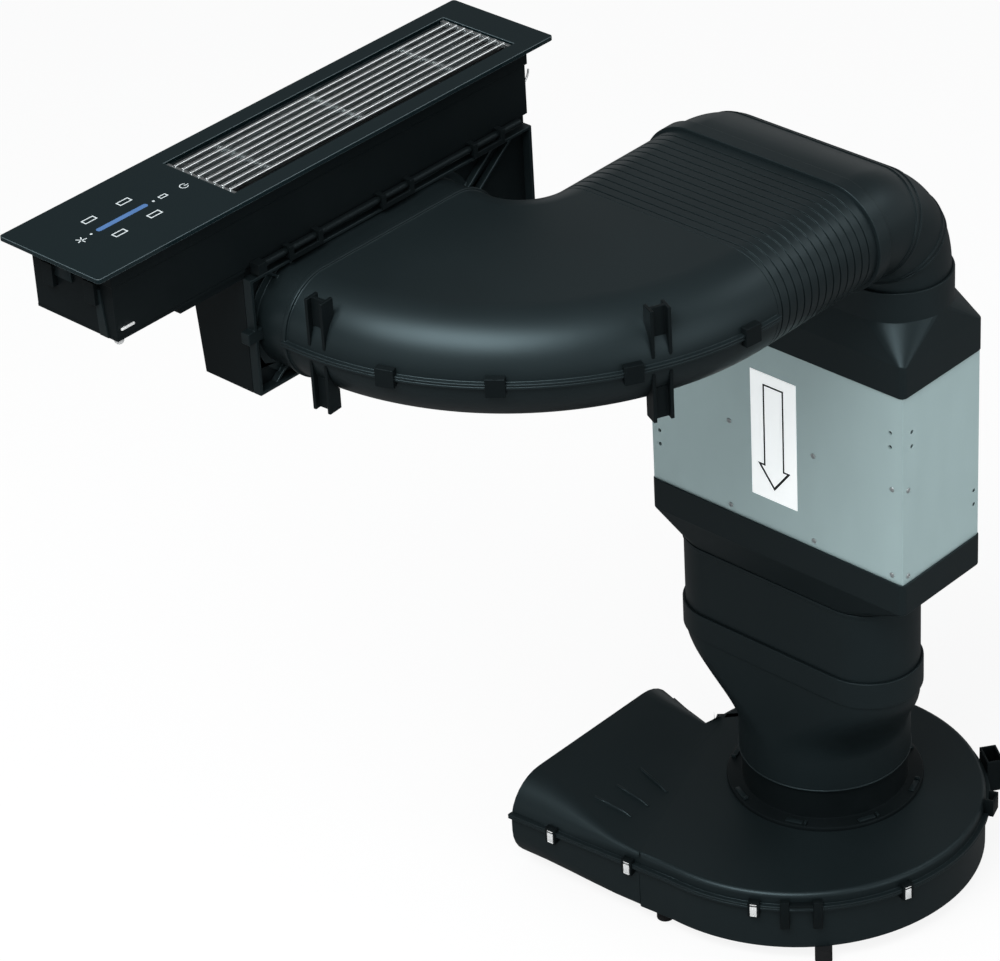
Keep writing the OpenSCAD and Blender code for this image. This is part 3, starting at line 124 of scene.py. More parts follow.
def maths(tree, place, operation, a, b):
    return put(tree, "ShaderNodeMath", place, operation=operation, inputs={0: a, 1: b}).outputs[0]


def shader_group(name, *own):
    """A shader group with its own inputs beside the usual ones; returns it and its end nodes."""
    tree = bpy.data.node_groups.new(name, "ShaderNodeTree")
    for title, kind in (("Dark", COLOUR), ("Light", COLOUR), *own, ("Smooth", FLOAT),
                        ("Rough", FLOAT)):
        tree.interface.new_socket(name=title, in_out="INPUT", socket_type=kind)
    for title, kind in (("Color", COLOUR), ("Roughness", FLOAT), ("Height", FLOAT)):
        tree.interface.new_socket(name=title, in_out="OUTPUT", socket_type=kind)
    return tree, put(tree, "NodeGroupInput", (-900, 0)), put(tree, "NodeGroupOutput", (600, 0))


def shade_by(tree, pattern, start, end):
    """A pattern runs the colour from Dark to Light and the roughness from Smooth to Rough."""
    shade = put(tree, "ShaderNodeMix", (-200, 300), data_type="RGBA", inputs={
        "Factor": pattern, 6: start.outputs["Dark"], 7: start.outputs["Light"]})
    sheen = put(tree, "ShaderNodeMapRange", (-200, 0), inputs={
        "Value": pattern, "From Min": 0.3, "From Max": 0.7,
        "To Min": start.outputs["Smooth"], "To Max": start.outputs["Rough"]})
    tree.links.new(shade.outputs[2], end.inputs["Color"])
    tree.links.new(sheen.outputs["Result"], end.inputs["Roughness"])


print("node helpers ready")

# %% [markdown]
# Moulded plastic is never one flat black. Its skin carries a very fine spark-eroded grain
# that spreads the highlights, and a slow cloudiness where the melt flowed. Every plastic
# part here shares this group and gives it its own shades and grain size.

# %% Group: moulded skin
moulded_skin, skin_in, skin_out = shader_group(
    "moulded_skin", ("Grain Size", FLOAT), ("Cloud Size", FLOAT))
place = put(moulded_skin, "ShaderNodeTexCoord", (-900, 300)).outputs["Object"]
cloud = put(moulded_skin, "ShaderNodeTexNoise", (-600, 300), inputs={
    "Vector": place, "Scale": skin_in.outputs["Cloud Size"], "Detail": 3.0, "Roughness": 0.5})
grain = put(moulded_skin, "ShaderNodeTexNoise", (-600, 0), inputs={
    "Vector": place, "Scale": skin_in.outputs["Grain Size"], "Detail": 2.0})
shade_by(moulded_skin, cloud.outputs["Fac"], skin_in, skin_out)
moulded_skin.links.new(grain.outputs["Fac"], skin_out.inputs["Height"])
print("group", moulded_skin.name, len(moulded_skin.nodes), "nodes")

# %% [markdown]
# Metal sheet and bar show the direction in which they were rolled or brushed. Stretching a
# noise along that direction turns its blobs into fine hairlines, so one group serves the
# brushed grille, the zinc coated box and the small bright fasteners.

# %% Group: drawn metal
drawn_metal, drawn_in, drawn_out = shader_group("drawn_metal", ("Stretch", VECTOR))
place = put(drawn_metal, "ShaderNodeTexCoord", (-900, 300)).outputs["Object"]
stretch = put(drawn_metal, "ShaderNodeVectorMath", (-700, 200), operation="MULTIPLY", inputs={
    0: place, 1: drawn_in.outputs["Stretch"]})
lines = put(drawn_metal, "ShaderNodeTexNoise", (-500, 200), inputs={
    "Vector": stretch.outputs["Vector"], "Scale": 1.0, "Detail": 4.0})
shade_by(drawn_metal, lines.outputs["Fac"], drawn_in, drawn_out)
drawn_metal.links.new(lines.outputs["Fac"], drawn_out.inputs["Height"])
print("group", drawn_metal.name, len(drawn_metal.nodes), "nodes")

# %% [markdown]
# Each material is one Principled shader fed by one of the groups. What varies over the
# surface comes through the group; what is the same everywhere, such as how metallic it
# is, sits on the shader's own socket, where an export can read it.

# %% Material makers
def finish_from(name, group, values, bump=0.0, **constants):
    """A Principled material whose colour, roughness and relief come from a group."""
    material = bpy.data.materials.new(name)
    material.use_nodes = True
    tree = material.node_tree
    shader = tree.nodes["Principled BSDF"]
    for title, value in constants.items():
        shader.inputs[title.replace("_", " ")].default_value = value
    skin = put(tree, "ShaderNodeGroup", (-500, 200), node_tree=group, inputs=values)
    tree.links.new(skin.outputs["Color"], shader.inputs["Base Color"])
    tree.links.new(skin.outputs["Roughness"], shader.inputs["Roughness"])
    if bump:
        relief = put(tree, "ShaderNodeBump", (-200, -200), inputs={
            "Strength": 1.0, "Distance": bump, "Height": skin.outputs["Height"]})
        tree.links.new(relief.outputs["Normal"], shader.inputs["Normal"])
    return material


def plastic(name, dark, light, grain, cloud, rough, **more):
    """A finish of the moulded skin group; rough holds its smoothest and roughest value."""
    return finish_from(name, moulded_skin, {
        "Dark": (*dark, 1), "Light": (*light, 1), "Grain Size": grain, "Cloud Size": cloud,
        "Smooth": rough[0], "Rough": rough[1]}, **more)


def metal(name, dark, light, stretch, rough, **more):
    """A finish of the drawn metal group; stretch tells how fine its lines are along X, Y, Z."""
    return finish_from(name, drawn_metal, {
        "Dark": (*dark, 1), "Light": (*light, 1), "Stretch": stretch,
        "Smooth": rough[0], "Rough": rough[1]}, **more)


print("material makers ready")

# %% [markdown]
# Satin black for the ducts and the fan, with the faint blue-green cast that such black has
# in studio light, and a deeper black for the inlet head and the small fittings. The board
# and the felt are hidden, but the finish of a part should still tell what it is.

# %% Materials: plastics and rubber
COOL_SHEEN = (0.64, 0.88, 0.96, 1)
satin_black = plastic(
    "satin_black", (0.0042, 0.0070, 0.0078), (0.0068, 0.0106, 0.0118),
    grain=1400.0, cloud=7.0, rough=(0.39, 0.46), bump=0.00002,
    Specular_IOR_Level=0.42, Specular_Tint=COOL_SHEEN)
deep_black = plastic(
    "deep_black", (0.0022, 0.0034, 0.0038), (0.0042, 0.0060, 0.0066),
    grain=1700.0, cloud=14.0, rough=(0.38, 0.48), bump=0.00002,
    Specular_IOR_Level=0.20, Specular_Tint=COOL_SHEEN)
soft_rubber = plastic(
    "soft_rubber", (0.004, 0.005, 0.0055), (0.009, 0.010, 0.011),
    grain=2200.0, cloud=30.0, rough=(0.62, 0.75), bump=0.00003, Specular_IOR_Level=0.25)
board_green = plastic(
    "board_green", (0.008, 0.05, 0.02), (0.02, 0.09, 0.035),
    grain=500.0, cloud=160.0, rough=(0.3, 0.4), bump=0.00002, Specular_IOR_Level=0.4)
felt_grey = plastic(
    "felt_grey", (0.05, 0.05, 0.05), (0.16, 0.16, 0.16),
    grain=700.0, cloud=260.0, rough=(0.9, 1.0), bump=0.0006, Specular_IOR_Level=0.1)
print("plastics", [m.name for m in (satin_black, deep_black, soft_rubber, board_green, felt_grey)])

# %% [markdown]
# The grille is brushed stainless steel, with hairlines along its blades, and the filter below it a
# darker steel: painted shade, for it lies in shade under the blades. The box is zinc coated sheet,
# even enough to look painted, and clips, rivets and screws are plated steel.

# %% Materials: metals
brushed_steel = metal(
    "brushed_steel", (0.56, 0.60, 0.61), (0.80, 0.84, 0.85),
    stretch=(1500.0, 14.0, 900.0), rough=(0.22, 0.34), bump=0.00001, Metallic=1.0)
# darker than the grille's steel: painted shade, for the filter lies in shade below the blades
filter_steel_painted_shade = metal(
    "filter_steel_painted_shade", (0.10, 0.12, 0.125), (0.18, 0.205, 0.21),
    stretch=(700.0, 14.0, 700.0), rough=(0.4, 0.55), bump=0.00001, Metallic=0.8)
zinc_sheet = metal(
    "zinc_sheet", (0.282, 0.378, 0.383), (0.310, 0.412, 0.417),
    stretch=(60.0, 60.0, 18.0), rough=(0.5, 0.6), bump=0.00001, Metallic=0.0,
    Specular_IOR_Level=0.4)
bright_steel = metal(
    "bright_steel", (0.80, 0.82, 0.82), (0.90, 0.91, 0.91),
    stretch=(500.0, 500.0, 60.0), rough=(0.2, 0.32), bump=0.000005, Metallic=0.4)
dull_steel = metal(
    "dull_steel", (0.36, 0.40, 0.41), (0.46, 0.50, 0.51),
    stretch=(500.0, 500.0, 60.0), rough=(0.3, 0.42), bump=0.000005, Metallic=0.7)
copper_windings = metal(
    "copper_windings", (0.18, 0.06, 0.025), (0.45, 0.17, 0.07),
    stretch=(900.0, 900.0, 2600.0), rough=(0.3, 0.45), bump=0.0002, Metallic=0.8)
print("metals", [m.name for m in (brushed_steel, filter_steel_painted_shade, zinc_sheet, bright_steel,
                                  dull_steel, copper_windings)])

# %% [markdown]
# The panel is black ceramic glass: almost a mirror, but a dark one. A little haze on the
# roughness, in large soft patches, keeps it from looking like a computer's idea of glass.
# Its ground edge gets a paler finish than its face, partly for the grinding and partly as a painted
# highlight: the thin line of light all round.
# The label is a white film with a faint glow of its own, painted light that makes it brighter; the
# signs on the glass are printed or lit.

# %% Materials: glass, film and signs
black_glass = plastic(
    "black_glass", (0.0020, 0.0058, 0.0070), (0.0028, 0.0070, 0.0084),
    grain=300.0, cloud=5.0, rough=(0.06, 0.10), Specular_IOR_Level=0.65, Specular_Tint=COOL_SHEEN)
# paler finish for the glass's bevel: partly a ground edge, partly a painted highlight along it
ground_edge_and_highlight = plastic(
    "ground_edge_and_highlight", (0.040, 0.058, 0.064), (0.056, 0.078, 0.086),
    grain=900.0, cloud=40.0, rough=(0.3, 0.4), Specular_IOR_Level=0.5)
# the emission is painted light: it brightens the label without any lamp
white_film_painted_glow = plastic(
    "white_film_painted_glow", (0.90, 0.93, 0.93), (0.94, 0.97, 0.97),
    grain=600.0, cloud=20.0, rough=(0.45, 0.55), Specular_IOR_Level=0.3,
    Emission_Color=(0.95, 1.0, 1.0, 1), Emission_Strength=0.22)
printed_black = plastic(
    "printed_black", (0.006, 0.007, 0.008), (0.010, 0.012, 0.013),
    grain=600.0, cloud=40.0, rough=(0.5, 0.6), Specular_IOR_Level=0.3)
sign_grey = plastic(
    "sign_grey", (0.42, 0.47, 0.48), (0.52, 0.57, 0.58),
    grain=600.0, cloud=90.0, rough=(0.4, 0.5), Specular_IOR_Level=0.3)
slider_blue = plastic(
    "slider_blue", (0.040, 0.100, 0.230), (0.056, 0.130, 0.290),
    grain=500.0, cloud=60.0, rough=(0.3, 0.4),
    Emission_Color=(0.05, 0.14, 0.34, 1), Emission_Strength=0.06)
print("glass and signs", [m.name for m in (black_glass, ground_edge_and_highlight, white_film_painted_glow, printed_black,
                                           sign_grey, slider_blue)])

# %% [markdown]
# Every CAD node gets its finish from this table, and its record slot stays what it was.

# %% Finish of each CAD node
FINISH = {
    black_glass: ["glass_panel"],
    soft_rubber: ["seal_frame", "joint_seals", "rubber_feet"],
    brushed_steel: ["inlet_grille"],
    # the filter's darker steel is painted shade
    filter_steel_painted_shade: ["grease_filter", "filter_mesh"],
    satin_black: ["bend_upper_shell", "bend_lower_shell", "ribbed_duct", "elbow", "upper_adapter",
                  "lower_adapter", "flat_connector", "flat_to_round", "inlet_ring",
                  "fan_upper_shell", "fan_lower_shell", "port_flange"],
    deep_black: ["inlet_housing", "filter_tray", "electronics_cover", "flange_rail", "snap_latches",
                 "seam_clips", "bend_brackets", "inlet_nozzle", "impeller", "impeller_hub",
                 "terminal_box", "worktop_clamps"],
    zinc_sheet: ["box_case", "box_end_panels", "liner_sheets"],
    bright_steel: ["box_rivets", "housing_clips", "motor_rotor", "motor_shaft", "bearings",
                   "motor_screws", "clamp_screws", "end_spring_wire", "motor_plate"],
    board_green: ["touch_board", "power_board"],
    felt_grey: ["absorber_pads"],
    # the label's glow is painted light
    white_film_painted_glow: ["flow_label"],
    copper_windings: ["motor_stator"],
}
finish_of = {node: material for material, nodes in FINISH.items() for node in nodes}
for node, thing in frame["nodes"].items():
    thing.data.materials.clear()
    thing.data.materials.append(finish_of[node])
print(len(finish_of), "nodes have a finish; left over:", set(frame["nodes"]) - set(finish_of))

# %% [markdown]
# A piece is a mesh put into the scene with a finish and a body that carries it. Smooth shading with
# creases at its sharp edges suits every hard part, so one helper does that for all.


def box_mm(node):
    """Lowest and highest corner of a CAD node at rest, in millimetres."""
    return [corner * 1000 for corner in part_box(node)]


def mesh_of(name, points, faces=()):
    """A mesh of points, in metres, and of faces that list their points."""
    mesh = bpy.data.meshes.new(name)
    mesh.from_pydata(points, [], faces)
    return mesh


def smooth(mesh, crease):
    """Shades a mesh smooth, apart from the edges sharper than crease, in degrees."""
    mesh.polygons.foreach_set("use_smooth", [True] * len(mesh.polygons))
    mesh.set_sharp_from_angle(angle=math.radians(crease))


def settle(piece, body):
    """Puts a finished piece on its body."""
    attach(piece, body)


def add_piece(name, mesh, material, body="root"):
    """Makes a piece of a mesh."""
    mesh.materials.clear()
    mesh.materials.append(material)
    piece = bpy.data.objects.new(name, mesh)
    scene.collection.objects.link(piece)
    settle(piece, body)
    return piece


def body_with(node):
    for body, members in frame["record"]["behaviour"]["bodies"].items():
        if node in members:
            return body


# %% [markdown]
# A CAD edge is perfectly sharp, and a real moulded or sheared edge never is: its small
# radius catches a line of light, and that line is most of what tells the eye that a
# thing is solid. So each node that shows gets a finished copy. Its loose triangles are
# merged, flat faces become one face again, a small bevel rounds the sharp edges, and
# only what is sharper than the limit stays a crease. The copy stands for the node.

# %% Making a rounded copy
SAME_FACE = 0.4  # degrees up to which neighbouring triangles are one flat face


def soften(piece, edge_mm, crease, segments=2):
    bevel = piece.modifiers.new("edge", "BEVEL")
    bevel.width = edge_mm / 1000
    bevel.segments = segments
    bevel.limit_method = "ANGLE"
    bevel.angle_limit = math.radians(crease)
    bevel.use_clamp_overlap = False
    bevel.harden_normals = True


def mark_edges(work, crease, weight):
    """Gives each sharp edge its share of the bevel's width, from a function of the edge."""
    layer = work.edges.layers.float.new("bevel_weight_edge")
    for edge in work.edges:
        if len(edge.link_faces) == 2 and edge.calc_face_angle() > math.radians(crease):
            edge[layer] = weight(edge)


def rounded_copy(node, edge_mm=0.5, crease=32.0, weld_mm=0.002, weight=None, trim=None):
    """Merged and bevelled copy of a node; trim may move its points, weight shares its bevel."""
    source = frame["nodes"][node].data
    mesh = mesh_of(node + "_finished", [v.co for v in source.vertices],
                   [f.vertices for f in source.polygons])
    work = bmesh.new()
    work.from_mesh(mesh)
    if trim:
        trim(work)
    bmesh.ops.remove_doubles(work, verts=work.verts, dist=weld_mm / 1000)
    bmesh.ops.dissolve_limit(work, angle_limit=math.radians(SAME_FACE), verts=work.verts,
                             edges=work.edges)
    if weight:
        mark_edges(work, crease, weight)
    work.to_mesh(mesh)
    work.free()
    smooth(mesh, crease)
    piece = add_piece(node + "_finished", mesh, finish_of[node], body_with(node))
    if edge_mm:
        soften(piece, edge_mm, crease, 4 if weight else 2)
    if weight:
        piece.modifiers["edge"].limit_method = "WEIGHT"
    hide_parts(node)
    return piece


print("copies can be made")

# %% [markdown]
# How round an edge is depends on how the part was made: sheet metal is sheared almost
# sharp, thick mouldings have the widest radius, and a soft seal needs none. The glass's bevel takes
# a paler finish of its own, partly for its ground edge and partly as a painted highlight along it.

# %% Rounded copies
EDGE_RADII = {
    "glass_panel": 0.4, "seal_frame": 0.0, "inlet_housing": 0.5,
    "port_flange": 0.7, "flange_rail": 0.3, "snap_latches": 0.4, "worktop_clamps": 0.2,
    "bend_upper_shell": 0.8, "bend_lower_shell": 0.8, "seam_clips": 0.5, "bend_brackets": 0.5,
    "ribbed_duct": 0.4, "elbow": 0.6, "flat_connector": 0.6,
    "box_case": 0.15, "box_end_panels": 0.15, "impeller": 0.2, "motor_rotor": 0.4,
    "terminal_box": 0.5,
}
finished = {node: rounded_copy(node, radius) for node, radius in EDGE_RADII.items()}
# the bevel's paler finish is partly the ground edge and partly a painted highlight
finished["glass_panel"].data.materials.append(ground_edge_and_highlight)
finished["glass_panel"].modifiers["edge"].material = 1
print(len(finished), "rounded copies")

# %% [markdown]
# The grille is a row of blades on a few cross rods. In the solid the rods end just outside
# the outermost blades, where their round ends would shine as bright dots. The copy ends
# them inside those blades, out of sight.

# %% Grille
BLADE_SHARE = 7 / 9  # place of the outermost blades, as a share of the grille's half width
END_FRAME, ROD_OUT, ROD_IN = 0.02, 0.002, 0.0012  # in metres, as the mesh is


def shorten_rods(work):
    low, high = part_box("inlet_grille")
    middle, outermost = (low.x + high.x) / 2, (high.x - low.x) / 2 * BLADE_SHARE
    for vert in work.verts:
        inside = low.y + END_FRAME < vert.co.y < high.y - END_FRAME
        if inside and abs(vert.co.x - middle) > outermost + ROD_OUT:
            vert.co.x = middle + math.copysign(outermost + ROD_IN, vert.co.x - middle)


finished["inlet_grille"] = rounded_copy("inlet_grille", 0.35, trim=shorten_rods)
print("grille", len(finished["inlet_grille"].data.polygons), "faces")

# %% [markdown]
# The fan's upper shell is a deep moulding: its top turns into the side wall over a wide
# radius, while the line where the hood starts stays crisp. A bevel can't tell the two
# apart by their angle, so each edge gets a weight: full on the rim, none on the hood's
# start, and a little on all others.

# %% Shells of the fan
ring_low, ring_high = box_mm("inlet_ring")
fan_x, fan_y = (ring_low.x + ring_high.x) / 2, (ring_low.y + ring_high.y) / 2
top_z = ring_low.z / 1000
RIM_RADIUS, RIM_FROM, SHORTEST_RIM = 5.0, 100.0, 1.0
HOOD_X, HOOD_Y, HOOD_LEAN, HOOD_NEAR = -54.0, -200.0, -0.35, 2.5
LEVEL = 0.0003  # how far a point may be off the fan's top and still belong to it, in metres


def from_hood_line(vert):
    """Distance in mm, along X, from the leaning line on the fan's top where the hood starts."""
    return abs(vert.co.x * 1000 - fan_x - HOOD_X - HOOD_LEAN * (vert.co.y * 1000 - fan_y - HOOD_Y))


def level_top(work):
    for vert in work.verts:
        if abs(vert.co.z - top_z) < LEVEL:
            vert.co.z = top_z


def rim_weight(edge):
    """Share of the bevel: full on the rim, none on the hood's start, little elsewhere."""
    if all(from_hood_line(vert) < HOOD_NEAR for vert in edge.verts):
        return 0.0
    high = all(abs(vert.co.z - top_z) < 2 * LEVEL for vert in edge.verts)
    reach = max(math.hypot(v.co.x * 1000 - fan_x, v.co.y * 1000 - fan_y) for v in edge.verts)
    long_enough = edge.calc_length() * 1000 > SHORTEST_RIM
    return 1.0 if high and reach > RIM_FROM and long_enough else 0.1


finished["fan_lower_shell"] = rounded_copy("fan_lower_shell", 0.6, 40.0, 0.45)
finished["fan_upper_shell"] = rounded_copy("fan_upper_shell", RIM_RADIUS, 40.0, 0.45, rim_weight,
                                           level_top)
print(len(finished), "copies,", sum(len(p.data.polygons) for p in finished.values()), "faces")

# %% [markdown]
# Small parts are built from rings of points joined by faces: a rivet head is a profile
# turned round an axis, and a lug or a clip is a stack of rounded rectangles. All of them
# are closed bodies with their own soft edges.

# %% Builders of closed bodies
def mesh_from_rings(name, rings, endless=False):
    """Closed body through rings of equally many points, each anticlockwise seen from its top;
    an endless one has no caps, but runs from its last ring back to its first."""
    n, m = len(rings[0]), len(rings)
    faces = [[k * n + i, k * n + (i + 1) % n, (k + 1) % m * n + (i + 1) % n, (k + 1) % m * n + i]
             for k in range(m if endless else m - 1) for i in range(n)]
    if not endless:
        faces += [list(reversed(range(n))), [(m - 1) * n + i for i in range(n)]]
    return mesh_of(name, [p for ring in rings for p in ring], faces)


def turned_point(r, a, z):
    return r * math.cos(a) / 1000, r * math.sin(a) / 1000, z / 1000


def turned(name, profile, steps=32):
    """Turned body; the profile lists (radius, height) in mm from the bottom up."""
    angles = [2 * math.pi * i / steps for i in range(steps)]
    return mesh_from_rings(name, [[turned_point(r, a, z) for a in angles] for r, z in profile])


def rounded_rectangle(cx, cy, w, d, r, z, steps=4):
    """Ring of points at height z, round (cx, cy), in mm."""
    ring = []
    for quarter, (sx, sy) in enumerate(((1, 1), (-1, 1), (-1, -1), (1, -1))):
        for i in range(steps + 1):
            a = math.radians(90 * (quarter + i / steps))
            ring.append(((cx + sx * (w / 2 - r) + r * math.cos(a)) / 1000,
                         (cy + sy * (d / 2 - r) + r * math.sin(a)) / 1000, z / 1000))
    return ring


def pillow(name, cx, cy, w, d, z0, z1, r, edge):
    """Block with round corners and softened top and bottom edges, in mm."""
    levels = [(z0, edge), (z0 + edge * 0.3, edge * 0.3), (z0 + edge, 0), (z1 - edge, 0),
              (z1 - edge * 0.3, edge * 0.3), (z1, edge)]
    return mesh_from_rings(name, [rounded_rectangle(cx, cy, w - 2 * e, d - 2 * e, r - e * 0.5, z)
                                  for z, e in levels])


def merged(name, meshes):
    """One mesh of several closed bodies."""
    work = bmesh.new()
    for mesh in meshes:
        work.from_mesh(mesh)
    whole = bpy.data.meshes.new(name)
    work.to_mesh(whole)
    work.free()
    return whole


def facing_out(mesh, weld=0.0):
    """Merges points closer than weld, in metres, and turns all faces outwards."""
    work = bmesh.new()
    work.from_mesh(mesh)
    if weld:
        bmesh.ops.remove_doubles(work, verts=work.verts, dist=weld)
    bmesh.ops.recalc_face_normals(work, faces=work.faces)
    work.to_mesh(mesh)
    work.free()
    return mesh


print("bodies can be built")

# %% [markdown]
# A ring goes round without ends, so it has no caps: its profile is closed instead. Every
# part made this way is moved to its place in its mesh, and its object stays at the origin,
# which keeps the grain of the finishes where it is when an exporter moves the object.

# %% Rings, and placing a part
def turned_ring(name, profile, steps=96):
    """Ring turned from a closed profile of (radius, height) in mm, anticlockwise."""
    angles = [2 * math.pi * k / steps for k in range(steps)]
    return mesh_from_rings(name, [[turned_point(r, a, z) for r, z in reversed(profile)]
                                  for a in angles], endless=True)


def bead_profile(radius, height, minor, steps=10):
    return [(radius + minor * math.cos(2 * math.pi * i / steps),
             height + minor * math.sin(2 * math.pi * i / steps)) for i in range(steps)]


def place_piece(name, mesh, material, at=(0, 0, 0), crease=40.0):
    """Makes a piece of a mesh, moved by at (in mm) and shaded smooth up to the crease."""
    mesh.transform(Matrix.Translation(Vector(at) / 1000))
    smooth(mesh, crease)
    return add_piece(name, mesh, material)


print("rings can be built")

# %% [markdown]
# Rivets, clips and lugs repeat one small part at many places, so a geometry node tree
# does the repeating: it takes bare points with a turn each, puts the unit on them, makes
# the copies real and gives them their material. The result is kept as a plain mesh.

# %% Tree that repeats a unit
def repeat_tree():
    tree = bpy.data.node_groups.new("repeat_unit", "GeometryNodeTree")
    for title, kind in (("Places", "Geometry"), ("Unit", "Object"), ("Size", "Float"),
                        ("Finish", "Material")):
        tree.interface.new_socket(name=title, in_out="INPUT", socket_type="NodeSocket" + kind)
    tree.interface.new_socket(name="Copies", in_out="OUTPUT", socket_type="NodeSocketGeometry")
    given = put(tree, "NodeGroupInput", (-700, 0)).outputs
    points = put(tree, "GeometryNodeMeshToPoints", (-500, 100), inputs={"Mesh": given["Places"]})
    unit = put(tree, "GeometryNodeObjectInfo", (-500, -100), inputs={"Object": given["Unit"]})
    turn = put(tree, "GeometryNodeInputNamedAttribute", (-500, -300), data_type="FLOAT_VECTOR",
               inputs={"Name": "turn"})
    copies = put(tree, "GeometryNodeInstanceOnPoints", (-100, 0), inputs={
        "Points": points.outputs["Points"], "Instance": unit.outputs["Geometry"],
        "Rotation": turn.outputs["Attribute"], "Scale": given["Size"]})
    real = put(tree, "GeometryNodeRealizeInstances", (150, 0),
               inputs={"Geometry": copies.outputs["Instances"]})
    finish = put(tree, "GeometryNodeSetMaterial", (400, 0), inputs={
        "Geometry": real.outputs["Geometry"], "Material": given["Finish"]})
    put(tree, "NodeGroupOutput", (700, 0), inputs={"Copies": finish.outputs["Geometry"]})
    return tree


repeat_unit = repeat_tree()
print("tree", repeat_unit.name, len(repeat_unit.nodes), "nodes")

# %% [markdown]
# The tree works on an object of bare points. A modifier's inputs are set by the identifiers
# of their sockets, and before the object is first evaluated. Then the result replaces the
# points, and the modifier and the unit are gone.

# %% Repeating a unit
def repeat(name, unit_mesh, places, material, size=1.0):
    """Copies of a unit at places: each is x, y, z in mm and three turns in degrees."""
    dots = mesh_of(name, [Vector(p[:3]) / 1000 for p in places])
    turns = dots.attributes.new("turn", "FLOAT_VECTOR", "POINT")
    turns.data.foreach_set("vector", [math.radians(a) for p in places for a in p[3:]])
    piece = bpy.data.objects.new(name, dots)
    unit = bpy.data.objects.new(name + "_unit", unit_mesh)
    scene.collection.objects.link(piece)
    scene.collection.objects.link(unit)
    mod = piece.modifiers.new("repeat", "NODES")
    mod.node_group = repeat_unit
    port = {item.name: item.identifier for item in repeat_unit.interface.items_tree
            if item.in_out == "INPUT"}
    mod[port["Unit"]] = unit
    mod[port["Size"]] = size
    mod[port["Finish"]] = material
    bpy.context.view_layer.update()
    ready = piece.evaluated_get(bpy.context.evaluated_depsgraph_get())
    whole = bpy.data.meshes.new_from_object(ready)
    piece.modifiers.clear()
    piece.data = whole
    bpy.data.objects.remove(unit)
    bpy.data.meshes.remove(dots)
    smooth(whole, 40.0)
    settle(piece, "root")
    print(name, len(places), "copies,", len(whole.polygons), "faces")
    return piece


print("units can be repeated")

# %% [markdown]
# The rivets of the box are blind rivets with a low domed head and a small dimple where
# the mandrel broke off. They sit where the CAD model has its plain heads.

# %% Rivets of the box
side_low, side_high = box_mm("box_end_panels")
rivet_low, rivet_high = box_mm("box_rivets")
mid_x, mid_y = (side_low.x + side_high.x) / 2, (side_low.y + side_high.y) / 2
wide, deep = side_high.x - side_low.x, side_high.y - side_low.y
RIVET_INSET = 2.2
RIVET_X_SHARES, RIVET_SIDE_SHARE = (-0.18, 0.154, 0.459), -0.43  # of the box's width and depth
rivet_head = turned("rivet_head", [(2.5, 0.0), (2.5, 0.25), (2.3, 0.55), (1.8, 0.85), (1.2, 0.98),
                                   (0.9, 0.98), (0.75, 0.6), (0.3, 0.55)], 24)
spots = []
for side in (-1, 1):
    for level in (rivet_low.z + RIVET_INSET, rivet_high.z - RIVET_INSET):
        spots += [(mid_x - side * share * wide, mid_y + side * deep / 2, level, -90 * side, 0, 0)
                  for share in RIVET_X_SHARES]
        spots.append((mid_x + side * wide / 2, mid_y + side * RIVET_SIDE_SHARE * deep, level,
                      0, 90 * side, 0))
rivets = repeat("box_rivet_heads", rivet_head, spots, dull_steel)
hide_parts("box_rivets")

# %% [markdown]
# The fan's two shells are held by spring clips: a bright tongue over the flange, set in a
# dark moulded frame of two cheeks and a head. The front wall is an arc of the scroll that
# runs on as the straight wall of the outlet, so a place on it is given by an angle or an x.

# %% Spring clips of the fan
SPLIT_Z = box_mm("fan_lower_shell")[1].z
SCROLL_X, SCROLL_Y, SCROLL_R = -17.5, -20.5, 180.0  # centre from the fan's axis, and radius
OUTLET_X, MOUTH_Y = -199.0, -220.0


def on_scroll(angle):
    """Spot on the round front wall at an angle about its own centre."""
    a = math.radians(angle)
    return (fan_x + SCROLL_X + SCROLL_R * math.cos(a), fan_y + SCROLL_Y + SCROLL_R * math.sin(a),
            SPLIT_Z, 0, 0, angle)


def on_outlet(x):
    """Spot on the outlet's straight front wall at x from the fan's axis."""
    start_y = SCROLL_Y - SCROLL_R
    run, fall = OUTLET_X - SCROLL_X, MOUTH_Y - start_y
    y = start_y + (x - SCROLL_X) / run * fall
    return fan_x + x, fan_y + y, SPLIT_Z, 0, 0, math.degrees(math.atan2(fall, run)) + 90


clip_spots = [on_scroll(-63), on_scroll(-18), on_outlet(-150), on_outlet(-64)]
tongue = merged("clip_tongue", [
    pillow("tongue", 5.9, 0, 1.2, 6.4, -8.4, 1.2, 0.5, 0.3),
    pillow("tongue_top", 3.6, 0, 5.6, 6.4, 3.0, 4.0, 0.5, 0.3),
    pillow("tongue_foot", 5.4, 0, 2.2, 6.4, -9.4, -8.4, 0.5, 0.3)])
cheeks = merged("clip_frame", [
    pillow("cheek_a", 3.3, 4.6, 6.6, 1.8, -9.8, 6.6, 0.6, 0.4),
    pillow("cheek_b", 3.3, -4.6, 6.6, 1.8, -9.8, 6.6, 0.6, 0.4),
    pillow("head", 3.2, 0, 6.4, 7.6, 4.2, 6.2, 0.6, 0.4)])
clips = repeat("clip_tongues", tongue, clip_spots, bright_steel)
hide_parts("housing_clips")
repeat("clip_frames", cheeks, clip_spots, deep_black)
